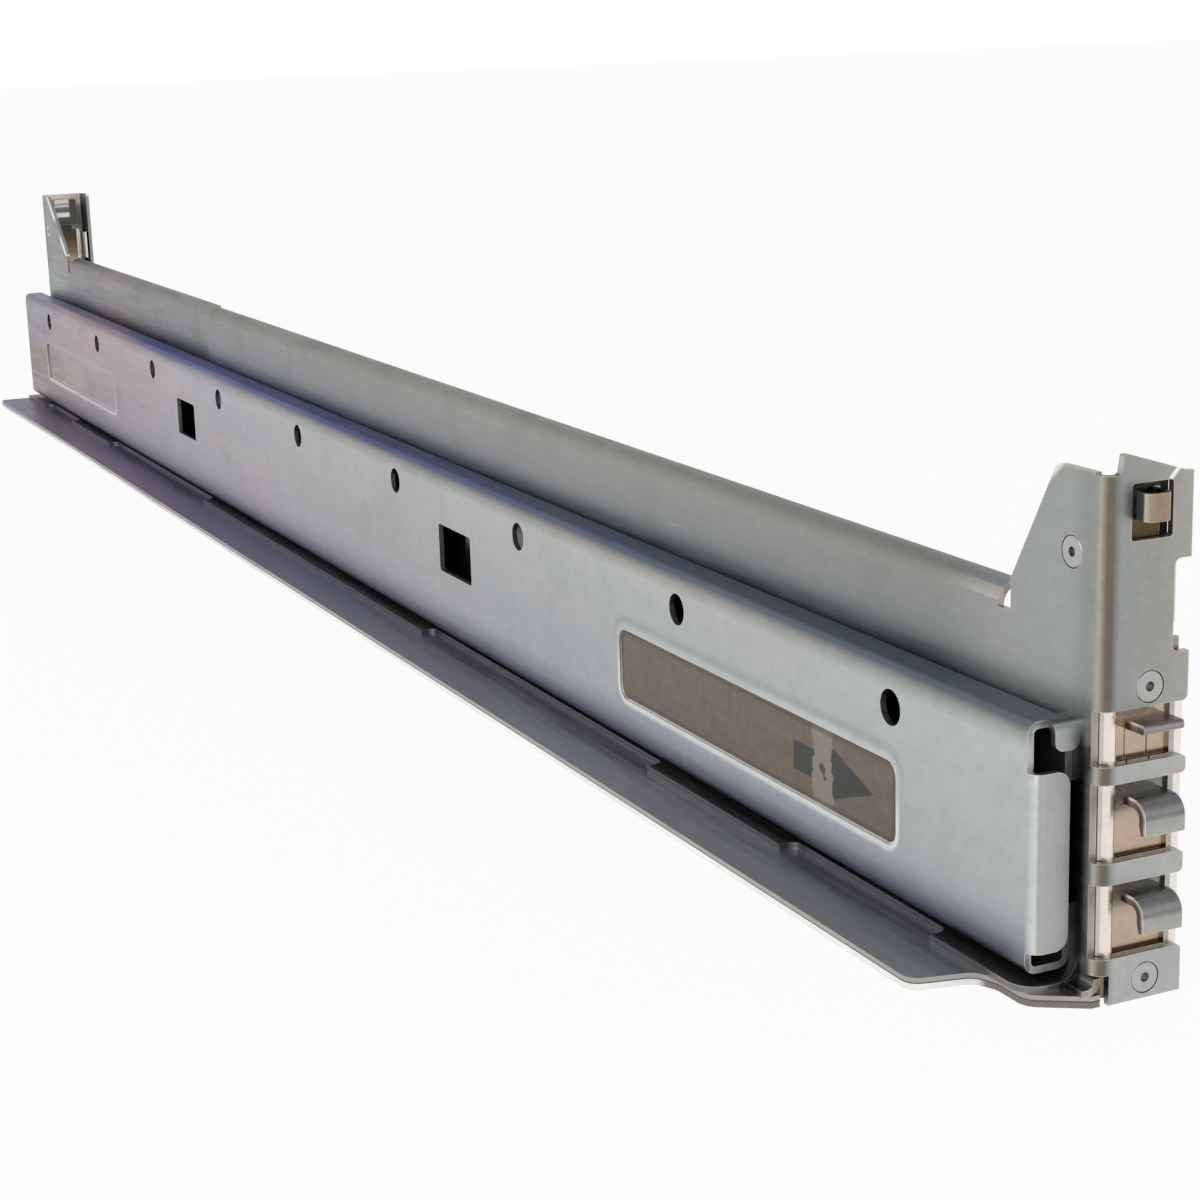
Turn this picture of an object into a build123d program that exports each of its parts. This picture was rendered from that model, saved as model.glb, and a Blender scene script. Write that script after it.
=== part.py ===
"""Right-hand rack mounting rail with depth adjustment, in millimetres.

X runs forward, Y outboard and Z up. The front flange's face is X = 0, the side plate's
inboard skin is Y = 0 and the underside of the support ledge is Z = 0.
"""
import os

from build123d import *

os.makedirs("parts", exist_ok=True)

# Sheets and general fits
SHEET_T = 1.2
LEDGE_T = 2.0
HOOK_T = 1.5
SPRING_T = 0.8
SLIDE_GAP = 0.3
RIVET_FIT = 0.05

# Front rail: side plate, lips and flange
FLANGE_W = 16.3
FLANGE_TOP = 87.5
FLANGE_BEND_R = 2.5
FOOT_RELIEF_Y = 2.6
FOOT_RELIEF_Z = 5.0
FOOT_SLIT = 0.3
FOOT_Y = -2.2
FOOT_FRONT_X = -0.4
PLATE_TOP = 63.1
TOP_BEND_R = 3.8
TOP_LIP_FLAT = 0.4
BOTTOM_LIP_Y = -9.8
BOTTOM_BEND_R = 3.3
FRONT_UPPER_END_X = -480.0
FRONT_LOWER_TOP = 44.0
LIP_START_X = -27.5
RELIEF_FRONT_X = -24.0
RELIEF_Z = 59.0
BRACKET_TOP = 84.8
BRACKET_SLOPE_X = -12.1
BRACKET_SLOPE_Z = 64.5
BRACKET_RELIEF_R = 0.8
BRACKET_SLOPE_R = 1.5
BRACKET_CORNER_R = 2.0
BOTTOM_LIP_FRONT_X = -5.0
BOTTOM_LIP_CORNER_R = 4.5
CASTLE_Y = -6.2
CASTLE_R = 2.0
CASTLE_GAPS = ((-697.0, -649.0), (-590.0, -464.0), (-267.0, -138.0), (-83.0, -32.0))

# Top of the front flange: a relief at the bend, an ear and a falling edge
EAR_Y = 3.4
EAR_TIP_W = 0.9
EAR_RELIEF_Z = 84.4
EAR_FALL_Y = 15.5
EAR_FALL_Z = 83.9
EAR_RELIEF_R = 0.8
EAR_TIP_R = 0.3
EAR_FALL_R = 1.0

# Windows in a flange, on the half-inch and five-eighths spacing of rack holes
HOLE_STEP_SMALL = 12.7
HOLE_STEP_LARGE = 15.875
HOOK_TOP_Z = 34.1
WINDOW_SIDE_X = -2.2
WINDOW_RISE = 2.1
WINDOW_DROP = 10.6
LIP_WINDOW_TOP = 47.9
LIP_WINDOW_BOTTOM = 39.1
LOW_WINDOW_TOP = 19.9
LOW_WINDOW_BOTTOM = 7.7
BAR_END_R = 0.9
LATCH_WINDOW_Y = (5.0, 12.6)
LATCH_WINDOW_Z = (74.1, 82.9)
LATCH_WINDOW_R = 0.6
FINGER_NOTCH_Y = 13.2
FINGER_NOTCH_Z = (55.8, 70.5)
FINGER_NOTCH_R = 1.2

# Hook plate behind a flange
HOOK_PLATE_W = 16.2
HOOK_PLATE_REAR_W = 14.6
HOOK_PLATE_LEG_X = -12.0
HOOK_PLATE_Z = (0.8, 54.5)
HOOK_PLATE_BEND_R = 2.2
HOOK_Y = (5.2, 12.7)
HOOK_REACH = 4.7
HOOK_DROP = 5.4
HOOK_BEND_R = 3.0
HOOK_TIP_CUT = 0.5
LIP_HOOK_REACH = 3.9
LIP_HOOK_R = 0.6
LIP_HOOK_DROP = 0.6
POCKET_Y = (3.9, 13.9)
POCKET_RIM = 0.3
POCKET_DEPTH = 0.7
SLIT_W = 0.4
SLIT_Y = (5.7, 9.9)
SLIT_Z = (38.0, 44.6)

# Blind rivets
RIVET_D = 3.1
RIVET_HEAD_D = 5.0
RIVET_HEAD_H = 0.7
RIVET_SEAT_GAP = 0.15
RIVET_EDGE = 0.1
RIVET_TAIL_D = 4.4
RIVET_TAIL_H = 1.0
RIVET_CORE_D = 1.6
FLANGE_RIVETS_YZ = ((9.5, 3.4), (9.1, 51.0))
LATCH_RIVET_XZ = (-8.0, 71.7)

# Spring latch: the foot is riveted to the side plate, the tongue carries the nose
FOOT_REAR_X = -14.0
FOOT_SKIN_X = -1.6
FOOT_BEND_R = 2.0
FOOT_Z = (55.2, 76.5)
FOOT_ARM_TOP = 57.75
FOOT_CORNER_R = 3.0
TONGUE_Y = (5.4, 11.3)
TONGUE_AXIS_Z = 58.2
TONGUE_TOP = 81.8
NOSE_W = 4.7
NOSE_BOTTOM = 77.5
NOSE_REACH = 3.6
NOSE_BEND_R = 1.6
FINGER_TAB_Y = 15.6
FINGER_TAB_TOP = 71.5
FINGER_WING_Z = (60.0, 70.5)
FINGER_WING_X = -8.5
FINGER_BEND_R = 1.6

# Chassis channel
CHANNEL_WEB_Y = -8.3
CHANNEL_TOP = 46.0
CHANNEL_BOTTOM = 4.6
CHANNEL_BEND_R = 2.1
CHANNEL_LIP = 10.6
CHANNEL_FRONT_X = -5.0
FRONT_TAB_Z = (8.5, 38.0)
FRONT_TAB_Y = -1.7
FRONT_TAB_R = 2.5
TOP_TAB_Y = -4.6
TOP_TAB_Z = 41.2
TOP_TAB_R = 1.6
WEB_HOLE_D = 6.4
WEB_HOLE_COUNT = 9
WEB_HOLE_PITCH = 79.375
WEB_HOLE_X = -46.7
WEB_HOLE_Z = 38.5
ACCESS_W = 20.4
ACCESS_H = 11.8
ACCESS_R = 1.0
ACCESS_Z = 26.8
ACCESS_AFTER_HOLE = (2.5, 5.5)
LABEL_RECESS = (-153.0, -45.0, 13.9, 29.1)
REAR_RECESS = (-690.0, -580.0, 15.3, 29.3)
RECESS_R = 3.0
RECESS_DEPTH = 0.4

# Support ledge
LEDGE_FRONT_X = -20.0
LEDGE_IN_Y = -21.4
LEDGE_CORNER_R = 3.0
TONGUE_STEP_Y = -10.8
TONGUE_STEP_X = -17.5
LEDGE_TONGUE_Y = -9.0
LEDGE_TONGUE_X = -5.9
LEDGE_TONGUE_R = 4.0
LEDGE_TIP_X = -0.3
LEDGE_TIP_Y = -0.4
LEDGE_TIP_R = 0.8

# Rear rail
SLIDE_TRAVEL = 200.0
REAR_FACE_X = -723.0
REAR_FRONT_X = -45.0
REAR_FLANGE_W = 17.4
REAR_RETURN = 10.0
REAR_TOP = 85.9
REAR_BRACKET_LENGTH = 39.0
REAR_BRACKET_TOP_LENGTH = 12.8
REAR_SLOPE_Z = 64.5
REAR_SLOPE_R = 1.5
REAR_RELIEF_W = 3.5
REAR_RELIEF_Z = 57.5
FRONT_RAIL_OVERHANG = 4.0
CHANNEL_OVERHANG = 1.0
LEDGE_OVERHANG = 5.0
REAR_STEP_GAP = 1.2
REAR_STEP_W = 1.2
REAR_LIP_Z = 5.0
REAR_LIP_Y = 6.5
REAR_TOP_LIP_Y = 5.2
REAR_BEND_R = 2.3
REAR_WINDOW_END_Y = 14.0

# Guide stud and depth-lock screw, which run in the slots of the rear rail
GUIDE_X = -260.0
SHOULDER_D = 8.0
SLOT_FIT = 0.1
STUD_NECK_D = 5.0
STUD_HEAD_D = 8.0
STUD_HEAD_H = 1.0
STUD_TAIL_D = 4.0
STUD_TAIL_HEAD_D = 6.4
STUD_TAIL_HEAD_H = 0.8
WASHER_D = 12.0
WASHER_T = 1.2
SCREW_D = 5.0
SCREW_FIT = 0.1
SCREW_HEAD_D = 9.5
SCREW_HEAD_H = 2.8
SCREW_EDGE = 0.8
SCREW_DRIVE_W = 1.2
SCREW_DRIVE_L = 5.4
SCREW_DRIVE_H = 1.4
SCREW_END = 1.0
NUT_FLATS = 8.0
NUT_H = 4.0

# Places that follow from the driving sizes; a cut runs well past the bend that it crosses
CUT_REACH = 2 * FLANGE_BEND_R
TOP_LIP_Y = TOP_BEND_R + TOP_LIP_FLAT
BOTTOM_LIP_TOP = LEDGE_T + SHEET_T
FRONT_LOWER_END_X = REAR_FACE_X - FRONT_RAIL_OVERHANG
CHANNEL_REAR_X = REAR_FACE_X - CHANNEL_OVERHANG
LEDGE_REAR_X = REAR_FACE_X - LEDGE_OVERHANG
REAR_BRACKET_X = REAR_FACE_X + REAR_BRACKET_LENGTH
REAR_SKIN_Y = SHEET_T + SLIDE_GAP
REAR_PLATE_TOP = PLATE_TOP - SHEET_T - SLIDE_GAP
WASHER_Y = REAR_SKIN_Y + SHEET_T + SLIDE_GAP
LIP_HOOK_TOP_Z = HOOK_TOP_Z + HOLE_STEP_SMALL - LIP_HOOK_DROP
LOW_HOOK_TOP_Z = HOOK_TOP_Z - HOLE_STEP_LARGE
TONGUE_AXIS_X = FOOT_SKIN_X - SPRING_T / 2
WINDOW_SPANS = (
    (LIP_WINDOW_BOTTOM, LIP_WINDOW_TOP),
    (HOOK_TOP_Z - WINDOW_DROP, HOOK_TOP_Z + WINDOW_RISE),
    (LOW_WINDOW_BOTTOM, LOW_WINDOW_TOP),
)
ACCESS_X = tuple(WEB_HOLE_X - WEB_HOLE_PITCH * n for n in ACCESS_AFTER_HOLE)
LOCK_X = ACCESS_X[1]


def side_plane(y):
    """Side view at the given Y: X to the right, Z up; a negative extrusion goes outboard."""
    return Plane.XZ.offset(-y)


def bent_section(plane, points, radii, thickness, side):
    """Section of a bent sheet: the line is one skin, and the sheet lies on the named side."""
    with BuildSketch(plane) as section:
        with BuildLine():
            FilletPolyline(*points, radius=radii)
            offset(amount=thickness, side=side)
        make_face()
    return section.sketch


def closed_outline(plane, points, radii):
    """Closed outline with a radius at each corner."""
    with BuildSketch(plane) as outline:
        with BuildLine():
            FilletPolyline(*points, radius=radii, close=True)
        make_face()
    return outline.sketch


def block(x_range, y_range, z_range, mode=Mode.ADD):
    """Box between two values on each axis."""
    (x0, x1), (y0, y1), (z0, z1) = x_range, y_range, z_range
    middle = ((x0 + x1) / 2, (y0 + y1) / 2, (z0 + z1) / 2)
    with Locations(middle):
        Box(x1 - x0, y1 - y0, z1 - z0, mode=mode)


def rod(start, direction, diameter, length, mode=Mode.ADD):
    """Round bar from a point along a direction."""
    with BuildSketch(Plane(origin=start, z_dir=direction)) as section:
        Circle(diameter / 2)
    extrude(section.sketch, amount=length, mode=mode)


def edges_at(part, direction, axis, value):
    """Edges along one direction that lie at a value on an axis."""
    margin = SHEET_T / 4
    edges = part.edges().filter_by(direction)
    return edges.filter_by_position(axis, value - margin, value + margin)


def at_rear(front_part):
    """The same fitting on the rear flange, which faces the other way."""
    turned = mirror(front_part, about=Plane.YZ, mode=Mode.PRIVATE)
    return Pos(REAR_FACE_X, REAR_SKIN_Y, 0) * turned


def hook_windows(outer_y):
    """Openings for the lip and the two hooks, from the side plate's bend to outer_y."""
    with BuildPart() as windows:
        for span in WINDOW_SPANS:
            block((WINDOW_SIDE_X, CUT_REACH), (-CUT_REACH, outer_y), span)
    return windows.part


def latch_window():
    """Opening for the latch nose."""
    (y0, y1), (z0, z1) = LATCH_WINDOW_Y, LATCH_WINDOW_Z
    with BuildPart() as window:
        with BuildSketch(Plane.YZ.offset(-CUT_REACH)) as section:
            with Locations(((y0 + y1) / 2, (z0 + z1) / 2)):
                RectangleRounded(y1 - y0, z1 - z0, LATCH_WINDOW_R)
        extrude(section.sketch, amount=2 * CUT_REACH)
    return window.part


def rivet_holes():
    """Stepped holes for the flange rivets and the latch rivet, whose heads sit flush."""
    hole_d = RIVET_D + 2 * RIVET_FIT
    seat_d = RIVET_HEAD_D + 2 * RIVET_SEAT_GAP
    x, z = LATCH_RIVET_XZ
    with BuildPart() as holes:
        for y, height in FLANGE_RIVETS_YZ:
            rod((-CUT_REACH, y, height), (1, 0, 0), hole_d, 2 * CUT_REACH)
            rod((-RIVET_HEAD_H, y, height), (1, 0, 0), seat_d, CUT_REACH)
        rod((x, -CUT_REACH, z), (0, 1, 0), hole_d, 2 * CUT_REACH)
        rod((x, RIVET_HEAD_H, z), (0, -1, 0), seat_d, CUT_REACH)
    return holes.part


def front_bracket():
    """Front end of the side plate with its flange, as one bent sheet."""
    points = ((LIP_START_X, 0), (0, 0), (0, FLANGE_W))
    shape = bent_section(Plane.XY, points, FLANGE_BEND_R, SHEET_T, Side.LEFT)
    extrude(shape, amount=FLANGE_TOP)


def trim_bracket_side():
    """Cuts the side plate's top to its sloping edge, with the relief beside the lip."""
    top = FLANGE_TOP + CUT_REACH
    bend_x = -FLANGE_BEND_R
    points = (
        (LIP_START_X - CUT_REACH, top), (LIP_START_X - CUT_REACH, RELIEF_Z),
        (RELIEF_FRONT_X, RELIEF_Z), (RELIEF_FRONT_X, BRACKET_SLOPE_Z),
        (BRACKET_SLOPE_X, BRACKET_TOP), (bend_x, BRACKET_TOP), (bend_x, top),
    )
    radii = (0, 0, BRACKET_RELIEF_R, BRACKET_SLOPE_R, BRACKET_CORNER_R, 0, 0)
    shape = closed_outline(side_plane(-CUT_REACH), points, radii)
    extrude(shape, amount=-CUT_REACH - FLANGE_BEND_R, mode=Mode.SUBTRACT)
    block((LIP_START_X - CUT_REACH, bend_x), (-CUT_REACH, CUT_REACH), (-CUT_REACH, LEDGE_T),
          Mode.SUBTRACT)


def trim_flange_top():
    """Cuts the ear, its falling edge and the relief at the bend."""
    top = FLANGE_TOP + CUT_REACH
    points = (
        (-CUT_REACH, EAR_RELIEF_Z), (EAR_Y - EAR_TIP_W / 2, EAR_RELIEF_Z), (EAR_Y, FLANGE_TOP),
        (EAR_Y + EAR_TIP_W, FLANGE_TOP), (EAR_FALL_Y, EAR_FALL_Z),
        (FLANGE_W + CUT_REACH, EAR_FALL_Z), (FLANGE_W + CUT_REACH, top), (-CUT_REACH, top),
    )
    radii = (0, EAR_RELIEF_R, EAR_TIP_R, EAR_TIP_R, EAR_FALL_R, 0, 0, 0)
    shape = closed_outline(Plane.YZ.offset(-FLANGE_BEND_R), points, radii)
    extrude(shape, amount=FLANGE_BEND_R + CUT_REACH, mode=Mode.SUBTRACT)


def foot_relief():
    """Relief at the foot of the flange bend, with the bottom bend carried forward into it."""
    block((-FLANGE_BEND_R, CUT_REACH), (-CUT_REACH, FOOT_RELIEF_Y), (-CUT_REACH, FOOT_RELIEF_Z),
          Mode.SUBTRACT)
    foot_top = FOOT_RELIEF_Z - FOOT_SLIT
    bend = ((FOOT_Y, BOTTOM_LIP_TOP), (0, BOTTOM_LIP_TOP), (0, foot_top))
    radius = min(foot_top - BOTTOM_LIP_TOP, -FOOT_Y) - FOOT_SLIT
    shape = bent_section(Plane.YZ.offset(BOTTOM_LIP_FRONT_X), bend, radius, SHEET_T, Side.RIGHT)
    extrude(shape, amount=FOOT_FRONT_X - BOTTOM_LIP_FRONT_X)


def finger_notch():
    """Notch in the flange's outboard edge that lets a finger reach the latch."""
    z0, z1 = FINGER_NOTCH_Z
    points = (
        (FINGER_NOTCH_Y, z0), (FLANGE_W + CUT_REACH, z0),
        (FLANGE_W + CUT_REACH, z1), (FINGER_NOTCH_Y, z1),
    )
    radii = (FINGER_NOTCH_R, 0, 0, FINGER_NOTCH_R)
    shape = closed_outline(Plane.YZ.offset(-CUT_REACH), points, radii)
    extrude(shape, amount=2 * CUT_REACH, mode=Mode.SUBTRACT)


def round_bar_ends(part):
    """Rounds the free ends of the bars between the hook windows."""
    ends = edges_at(part, Axis.X, Axis.Y, FLANGE_W)
    ends = ends.filter_by_position(Axis.Z, LOW_WINDOW_BOTTOM - SHEET_T, LIP_WINDOW_TOP + SHEET_T)
    fillet(ends, BAR_END_R)


def front_long_plate():
    """Side plate behind the bracket: full height in front, the lower band behind."""
    upper = ((BOTTOM_LIP_Y, BOTTOM_LIP_TOP), (0, BOTTOM_LIP_TOP), (0, PLATE_TOP),
             (TOP_LIP_Y, PLATE_TOP))
    radii = (BOTTOM_BEND_R, TOP_BEND_R)
    shape = bent_section(Plane.YZ.offset(FRONT_UPPER_END_X), upper, radii, SHEET_T, Side.RIGHT)
    extrude(shape, amount=LIP_START_X - FRONT_UPPER_END_X)
    lower = (upper[0], upper[1], (0, FRONT_LOWER_TOP))
    shape = bent_section(Plane.YZ.offset(FRONT_LOWER_END_X), lower, BOTTOM_BEND_R, SHEET_T, Side.RIGHT)
    extrude(shape, amount=FRONT_UPPER_END_X - FRONT_LOWER_END_X)


def blend_front_corner():
    """Clears the bracket below the bottom bend and rounds the lip's front corner."""
    bend_z = BOTTOM_LIP_TOP + BOTTOM_BEND_R
    block((LIP_START_X, BOTTOM_LIP_FRONT_X), (0, CUT_REACH), (0, bend_z), Mode.SUBTRACT)
    bend = ((BOTTOM_LIP_Y, BOTTOM_LIP_TOP), (0, BOTTOM_LIP_TOP), (0, bend_z + SHEET_T))
    shape = bent_section(Plane.YZ.offset(LIP_START_X), bend, BOTTOM_BEND_R, SHEET_T, Side.RIGHT)
    extrude(shape, amount=BOTTOM_LIP_FRONT_X - LIP_START_X)


def round_lip_corner(part):
    """Rounds the bottom lip's front corner."""
    corners = edges_at(part, Axis.Z, Axis.Y, BOTTOM_LIP_Y)
    fillet(corners.sort_by(Axis.X)[-1], BOTTOM_LIP_CORNER_R)


def castle_cuts():
    """Cuts the bottom lip back between its long teeth."""
    for x0, x1 in CASTLE_GAPS:
        points = ((x0, BOTTOM_LIP_Y - CUT_REACH), (x1, BOTTOM_LIP_Y - CUT_REACH),
                  (x1, CASTLE_Y), (x0, CASTLE_Y))
        shape = closed_outline(Plane.XY, points, (0, 0, CASTLE_R, CASTLE_R))
        extrude(shape, amount=BOTTOM_LIP_TOP + CUT_REACH, mode=Mode.SUBTRACT)


def stud_and_screw_holes():
    """Holes in the front rail for the guide stud and the lock screw."""
    for x, diameter in ((GUIDE_X, STUD_NECK_D + 2 * RIVET_FIT), (LOCK_X, SCREW_D + 2 * SCREW_FIT)):
        rod((x, -CUT_REACH, ACCESS_Z), (0, 1, 0), diameter, 2 * CUT_REACH, Mode.SUBTRACT)


with BuildPart() as front_rail:
    front_bracket()
    trim_bracket_side()
    trim_flange_top()
    front_long_plate()
    blend_front_corner()
    castle_cuts()
    stud_and_screw_holes()
    add(hook_windows(FLANGE_W + CUT_REACH), mode=Mode.SUBTRACT)
    add(latch_window(), mode=Mode.SUBTRACT)
    add(rivet_holes(), mode=Mode.SUBTRACT)
    finger_notch()
    foot_relief()
    round_bar_ends(front_rail.part)
    round_lip_corner(front_rail.part)


def web_openings():
    """Nine round holes and the two access holes in the channel's web."""
    with BuildSketch(side_plane(CHANNEL_WEB_Y - CUT_REACH)) as section:
        for n in range(WEB_HOLE_COUNT):
            with Locations((WEB_HOLE_X - n * WEB_HOLE_PITCH, WEB_HOLE_Z)):
                Circle(WEB_HOLE_D / 2)
        for x in ACCESS_X:
            with Locations((x, ACCESS_Z)):
                RectangleRounded(ACCESS_W, ACCESS_H, ACCESS_R)
    extrude(section.sketch, amount=-CUT_REACH - SHEET_T, mode=Mode.SUBTRACT)


def web_recesses():
    """Shallow coined fields on the web, the front one for a label."""
    for x0, x1, z0, z1 in (LABEL_RECESS, REAR_RECESS):
        with BuildSketch(side_plane(CHANNEL_WEB_Y)) as section:
            with Locations(((x0 + x1) / 2, (z0 + z1) / 2)):
                RectangleRounded(x1 - x0, z1 - z0, RECESS_R)
        extrude(section.sketch, amount=-RECESS_DEPTH, mode=Mode.SUBTRACT)


def channel_front_tab():
    """Tab of the web that is bent outboard and closes the channel's front end."""
    z0, z1 = FRONT_TAB_Z
    start = CHANNEL_FRONT_X - 2 * CHANNEL_BEND_R
    points = ((start, CHANNEL_WEB_Y), (CHANNEL_FRONT_X, CHANNEL_WEB_Y),
              (CHANNEL_FRONT_X, FRONT_TAB_Y))
    shape = bent_section(Plane.XY.offset(z0), points, CHANNEL_BEND_R, SHEET_T, Side.LEFT)
    extrude(shape, amount=z1 - z0)


def channel_top_tab():
    """Small tab of the top flange that is bent down at the front."""
    start = CHANNEL_FRONT_X - 2 * CHANNEL_BEND_R
    points = ((start, CHANNEL_TOP), (CHANNEL_FRONT_X, CHANNEL_TOP), (CHANNEL_FRONT_X, TOP_TAB_Z))
    shape = bent_section(side_plane(TOP_TAB_Y), points, CHANNEL_BEND_R, SHEET_T, Side.RIGHT)
    extrude(shape, amount=TOP_TAB_Y)


def round_front_tabs(part):
    """Rounds the free corners of the front tab and of the small top tab."""
    fillet(edges_at(part, Axis.X, Axis.Y, FRONT_TAB_Y), FRONT_TAB_R)
    fillet(edges_at(part, Axis.X, Axis.Z, TOP_TAB_Z), TOP_TAB_R)


with BuildPart() as chassis_channel:
    shape = bent_section(
        Plane.YZ.offset(CHANNEL_REAR_X),
        ((0, CHANNEL_TOP - CHANNEL_LIP), (0, CHANNEL_TOP), (CHANNEL_WEB_Y, CHANNEL_TOP),
         (CHANNEL_WEB_Y, CHANNEL_BOTTOM), (0, CHANNEL_BOTTOM), (0, CHANNEL_BOTTOM + CHANNEL_LIP)),
        CHANNEL_BEND_R, SHEET_T, Side.LEFT)
    extrude(shape, amount=CHANNEL_FRONT_X - CHANNEL_BEND_R - CHANNEL_REAR_X)
    channel_front_tab()
    channel_top_tab()
    round_front_tabs(chassis_channel.part)
    web_openings()
    web_recesses()


with BuildPart() as support_ledge:
    shape = closed_outline(
        Plane.XY,
        ((LEDGE_REAR_X, SHEET_T), (LEDGE_REAR_X, LEDGE_IN_Y), (LEDGE_FRONT_X, LEDGE_IN_Y),
         (TONGUE_STEP_X, TONGUE_STEP_Y), (TONGUE_STEP_X + LEDGE_TONGUE_R, LEDGE_TONGUE_Y),
         (LEDGE_TONGUE_X, LEDGE_TONGUE_Y), (LEDGE_TIP_X, LEDGE_TIP_Y), (LEDGE_TIP_X, SHEET_T)),
        (0, LEDGE_CORNER_R, LEDGE_CORNER_R, LEDGE_CORNER_R, LEDGE_TONGUE_R, LEDGE_TONGUE_R,
         LEDGE_TIP_R, 0))
    extrude(shape, amount=LEDGE_T)


def hook_body(top_z):
    """Lanced hook: a strip bent down behind the rack post's face."""
    root = -SHEET_T - HOOK_T
    points = ((root, top_z), (HOOK_REACH, top_z), (HOOK_REACH, top_z - HOOK_DROP))
    y0, y1 = HOOK_Y
    shape = bent_section(side_plane(y0), points, HOOK_BEND_R, HOOK_T, Side.RIGHT)
    extrude(shape, amount=y0 - y1)
    tip_z = top_z - HOOK_DROP
    inner_x = HOOK_REACH - HOOK_T
    lead = ((inner_x, tip_z), (inner_x + HOOK_TIP_CUT, tip_z), (inner_x, tip_z + HOOK_T))
    with BuildSketch(side_plane(y0)) as section:
        with BuildLine():
            Polyline(*lead, close=True)
        make_face()
    extrude(section.sketch, amount=y0 - y1, mode=Mode.SUBTRACT)


def lip_hook():
    """Flat lip that enters the upper rack hole."""
    x_range = (-SHEET_T - HOOK_T, LIP_HOOK_REACH)
    with BuildPart() as lip:
        block(x_range, HOOK_Y, (LIP_HOOK_TOP_Z - HOOK_T, LIP_HOOK_TOP_Z))
        fillet(lip.faces().sort_by(Axis.X)[-1].edges().filter_by(Axis.Y), LIP_HOOK_R)
    return lip.part


def plate_pockets():
    """Shallow pockets in the hook plate, one behind each window."""
    floor_x = -SHEET_T - POCKET_DEPTH
    for z0, z1 in WINDOW_SPANS:
        block((floor_x, 0), POCKET_Y, (z0 + POCKET_RIM, z1 - POCKET_RIM), Mode.SUBTRACT)


with BuildPart() as front_hook_plate:
    shape = bent_section(
        Plane.XY.offset(HOOK_PLATE_Z[0]),
        ((HOOK_PLATE_LEG_X, SHEET_T), (-SHEET_T, SHEET_T), (-SHEET_T, HOOK_PLATE_W)),
        HOOK_PLATE_BEND_R, HOOK_T, Side.LEFT)
    extrude(shape, amount=HOOK_PLATE_Z[1] - HOOK_PLATE_Z[0])
    plate_pockets()
    for hook_z in (HOOK_TOP_Z, LOW_HOOK_TOP_Z):
        hook_body(hook_z)
    add(lip_hook())
    for slit_y in SLIT_Y:
        block((-CUT_REACH, 0), (slit_y, slit_y + SLIT_W), SLIT_Z, Mode.SUBTRACT)
    add(rivet_holes(), mode=Mode.SUBTRACT)


def rivet(start, direction, grip):
    """Blind rivet with a flush head, a hollow core and a rolled tail."""
    back = tuple(-value for value in direction)
    tail_start = tuple(s + grip * b for s, b in zip(start, back))
    with BuildPart() as body:
        rod(start, back, RIVET_D, grip)
        rod(start, back, RIVET_HEAD_D, RIVET_HEAD_H)
        rim = body.faces().sort_by(Axis(start, direction))[-1].edges()
        chamfer(rim, RIVET_EDGE)
        rod(tail_start, back, RIVET_TAIL_D, RIVET_TAIL_H)
        rod(start, back, RIVET_CORE_D, grip + RIVET_TAIL_H, Mode.SUBTRACT)
    return body.part


with BuildPart() as front_hook_rivets:
    for rivet_y, rivet_z in FLANGE_RIVETS_YZ:
        add(rivet((0, rivet_y, rivet_z), (1, 0, 0), SHEET_T + HOOK_T))

with BuildPart() as front_latch_rivet:
    add(rivet((LATCH_RIVET_XZ[0], 0, LATCH_RIVET_XZ[1]), (0, -1, 0), SHEET_T + SPRING_T))


with BuildPart() as front_latch_foot:
    shape = bent_section(
        Plane.XY.offset(FOOT_Z[0]),
        ((FOOT_REAR_X, SHEET_T), (FOOT_SKIN_X, SHEET_T), (FOOT_SKIN_X, FINGER_TAB_Y)),
        FOOT_BEND_R, SPRING_T, Side.LEFT)
    extrude(shape, amount=FOOT_Z[1] - FOOT_Z[0])
    block((FOOT_SKIN_X - FOOT_BEND_R, 0), (0, FLANGE_W), (FOOT_ARM_TOP, FOOT_Z[1]), Mode.SUBTRACT)
    fillet(edges_at(front_latch_foot.part, Axis.Y, Axis.X, FOOT_REAR_X), FOOT_CORNER_R)
    add(rivet_holes(), mode=Mode.SUBTRACT)


def latch_nose():
    """Nose: a strip bent round the front, closed behind by the tongue."""
    y0 = TONGUE_Y[0]
    y1 = y0 + NOSE_W
    back_x = TONGUE_AXIS_X
    points = ((back_x, y0), (NOSE_REACH, y0), (NOSE_REACH, y1), (back_x, y1))
    shape = bent_section(Plane.XY.offset(NOSE_BOTTOM), points, NOSE_BEND_R, SPRING_T, Side.LEFT)
    extrude(shape, amount=TONGUE_TOP - NOSE_BOTTOM)


def finger_tab():
    """Outboard half of the tongue, behind the flange's notch, with a wing bent back."""
    back_skin = FOOT_SKIN_X - SPRING_T
    block((back_skin, FOOT_SKIN_X), (TONGUE_Y[0], FINGER_TAB_Y - FINGER_BEND_R),
          (TONGUE_AXIS_Z, FINGER_TAB_TOP))
    points = ((FOOT_SKIN_X, TONGUE_Y[1]), (FOOT_SKIN_X, FINGER_TAB_Y), (FINGER_WING_X, FINGER_TAB_Y))
    z0, z1 = FINGER_WING_Z
    shape = bent_section(Plane.XY.offset(z0), points, FINGER_BEND_R, SPRING_T, Side.LEFT)
    extrude(shape, amount=z1 - z0)


with BuildPart() as front_latch_tongue:
    block((FOOT_SKIN_X - SPRING_T, FOOT_SKIN_X), TONGUE_Y, (TONGUE_AXIS_Z, TONGUE_TOP))
    rod((TONGUE_AXIS_X, TONGUE_Y[0], TONGUE_AXIS_Z), (0, 1, 0), SPRING_T,
        FINGER_TAB_Y - FINGER_BEND_R - TONGUE_Y[0])
    finger_tab()
    latch_nose()


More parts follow.
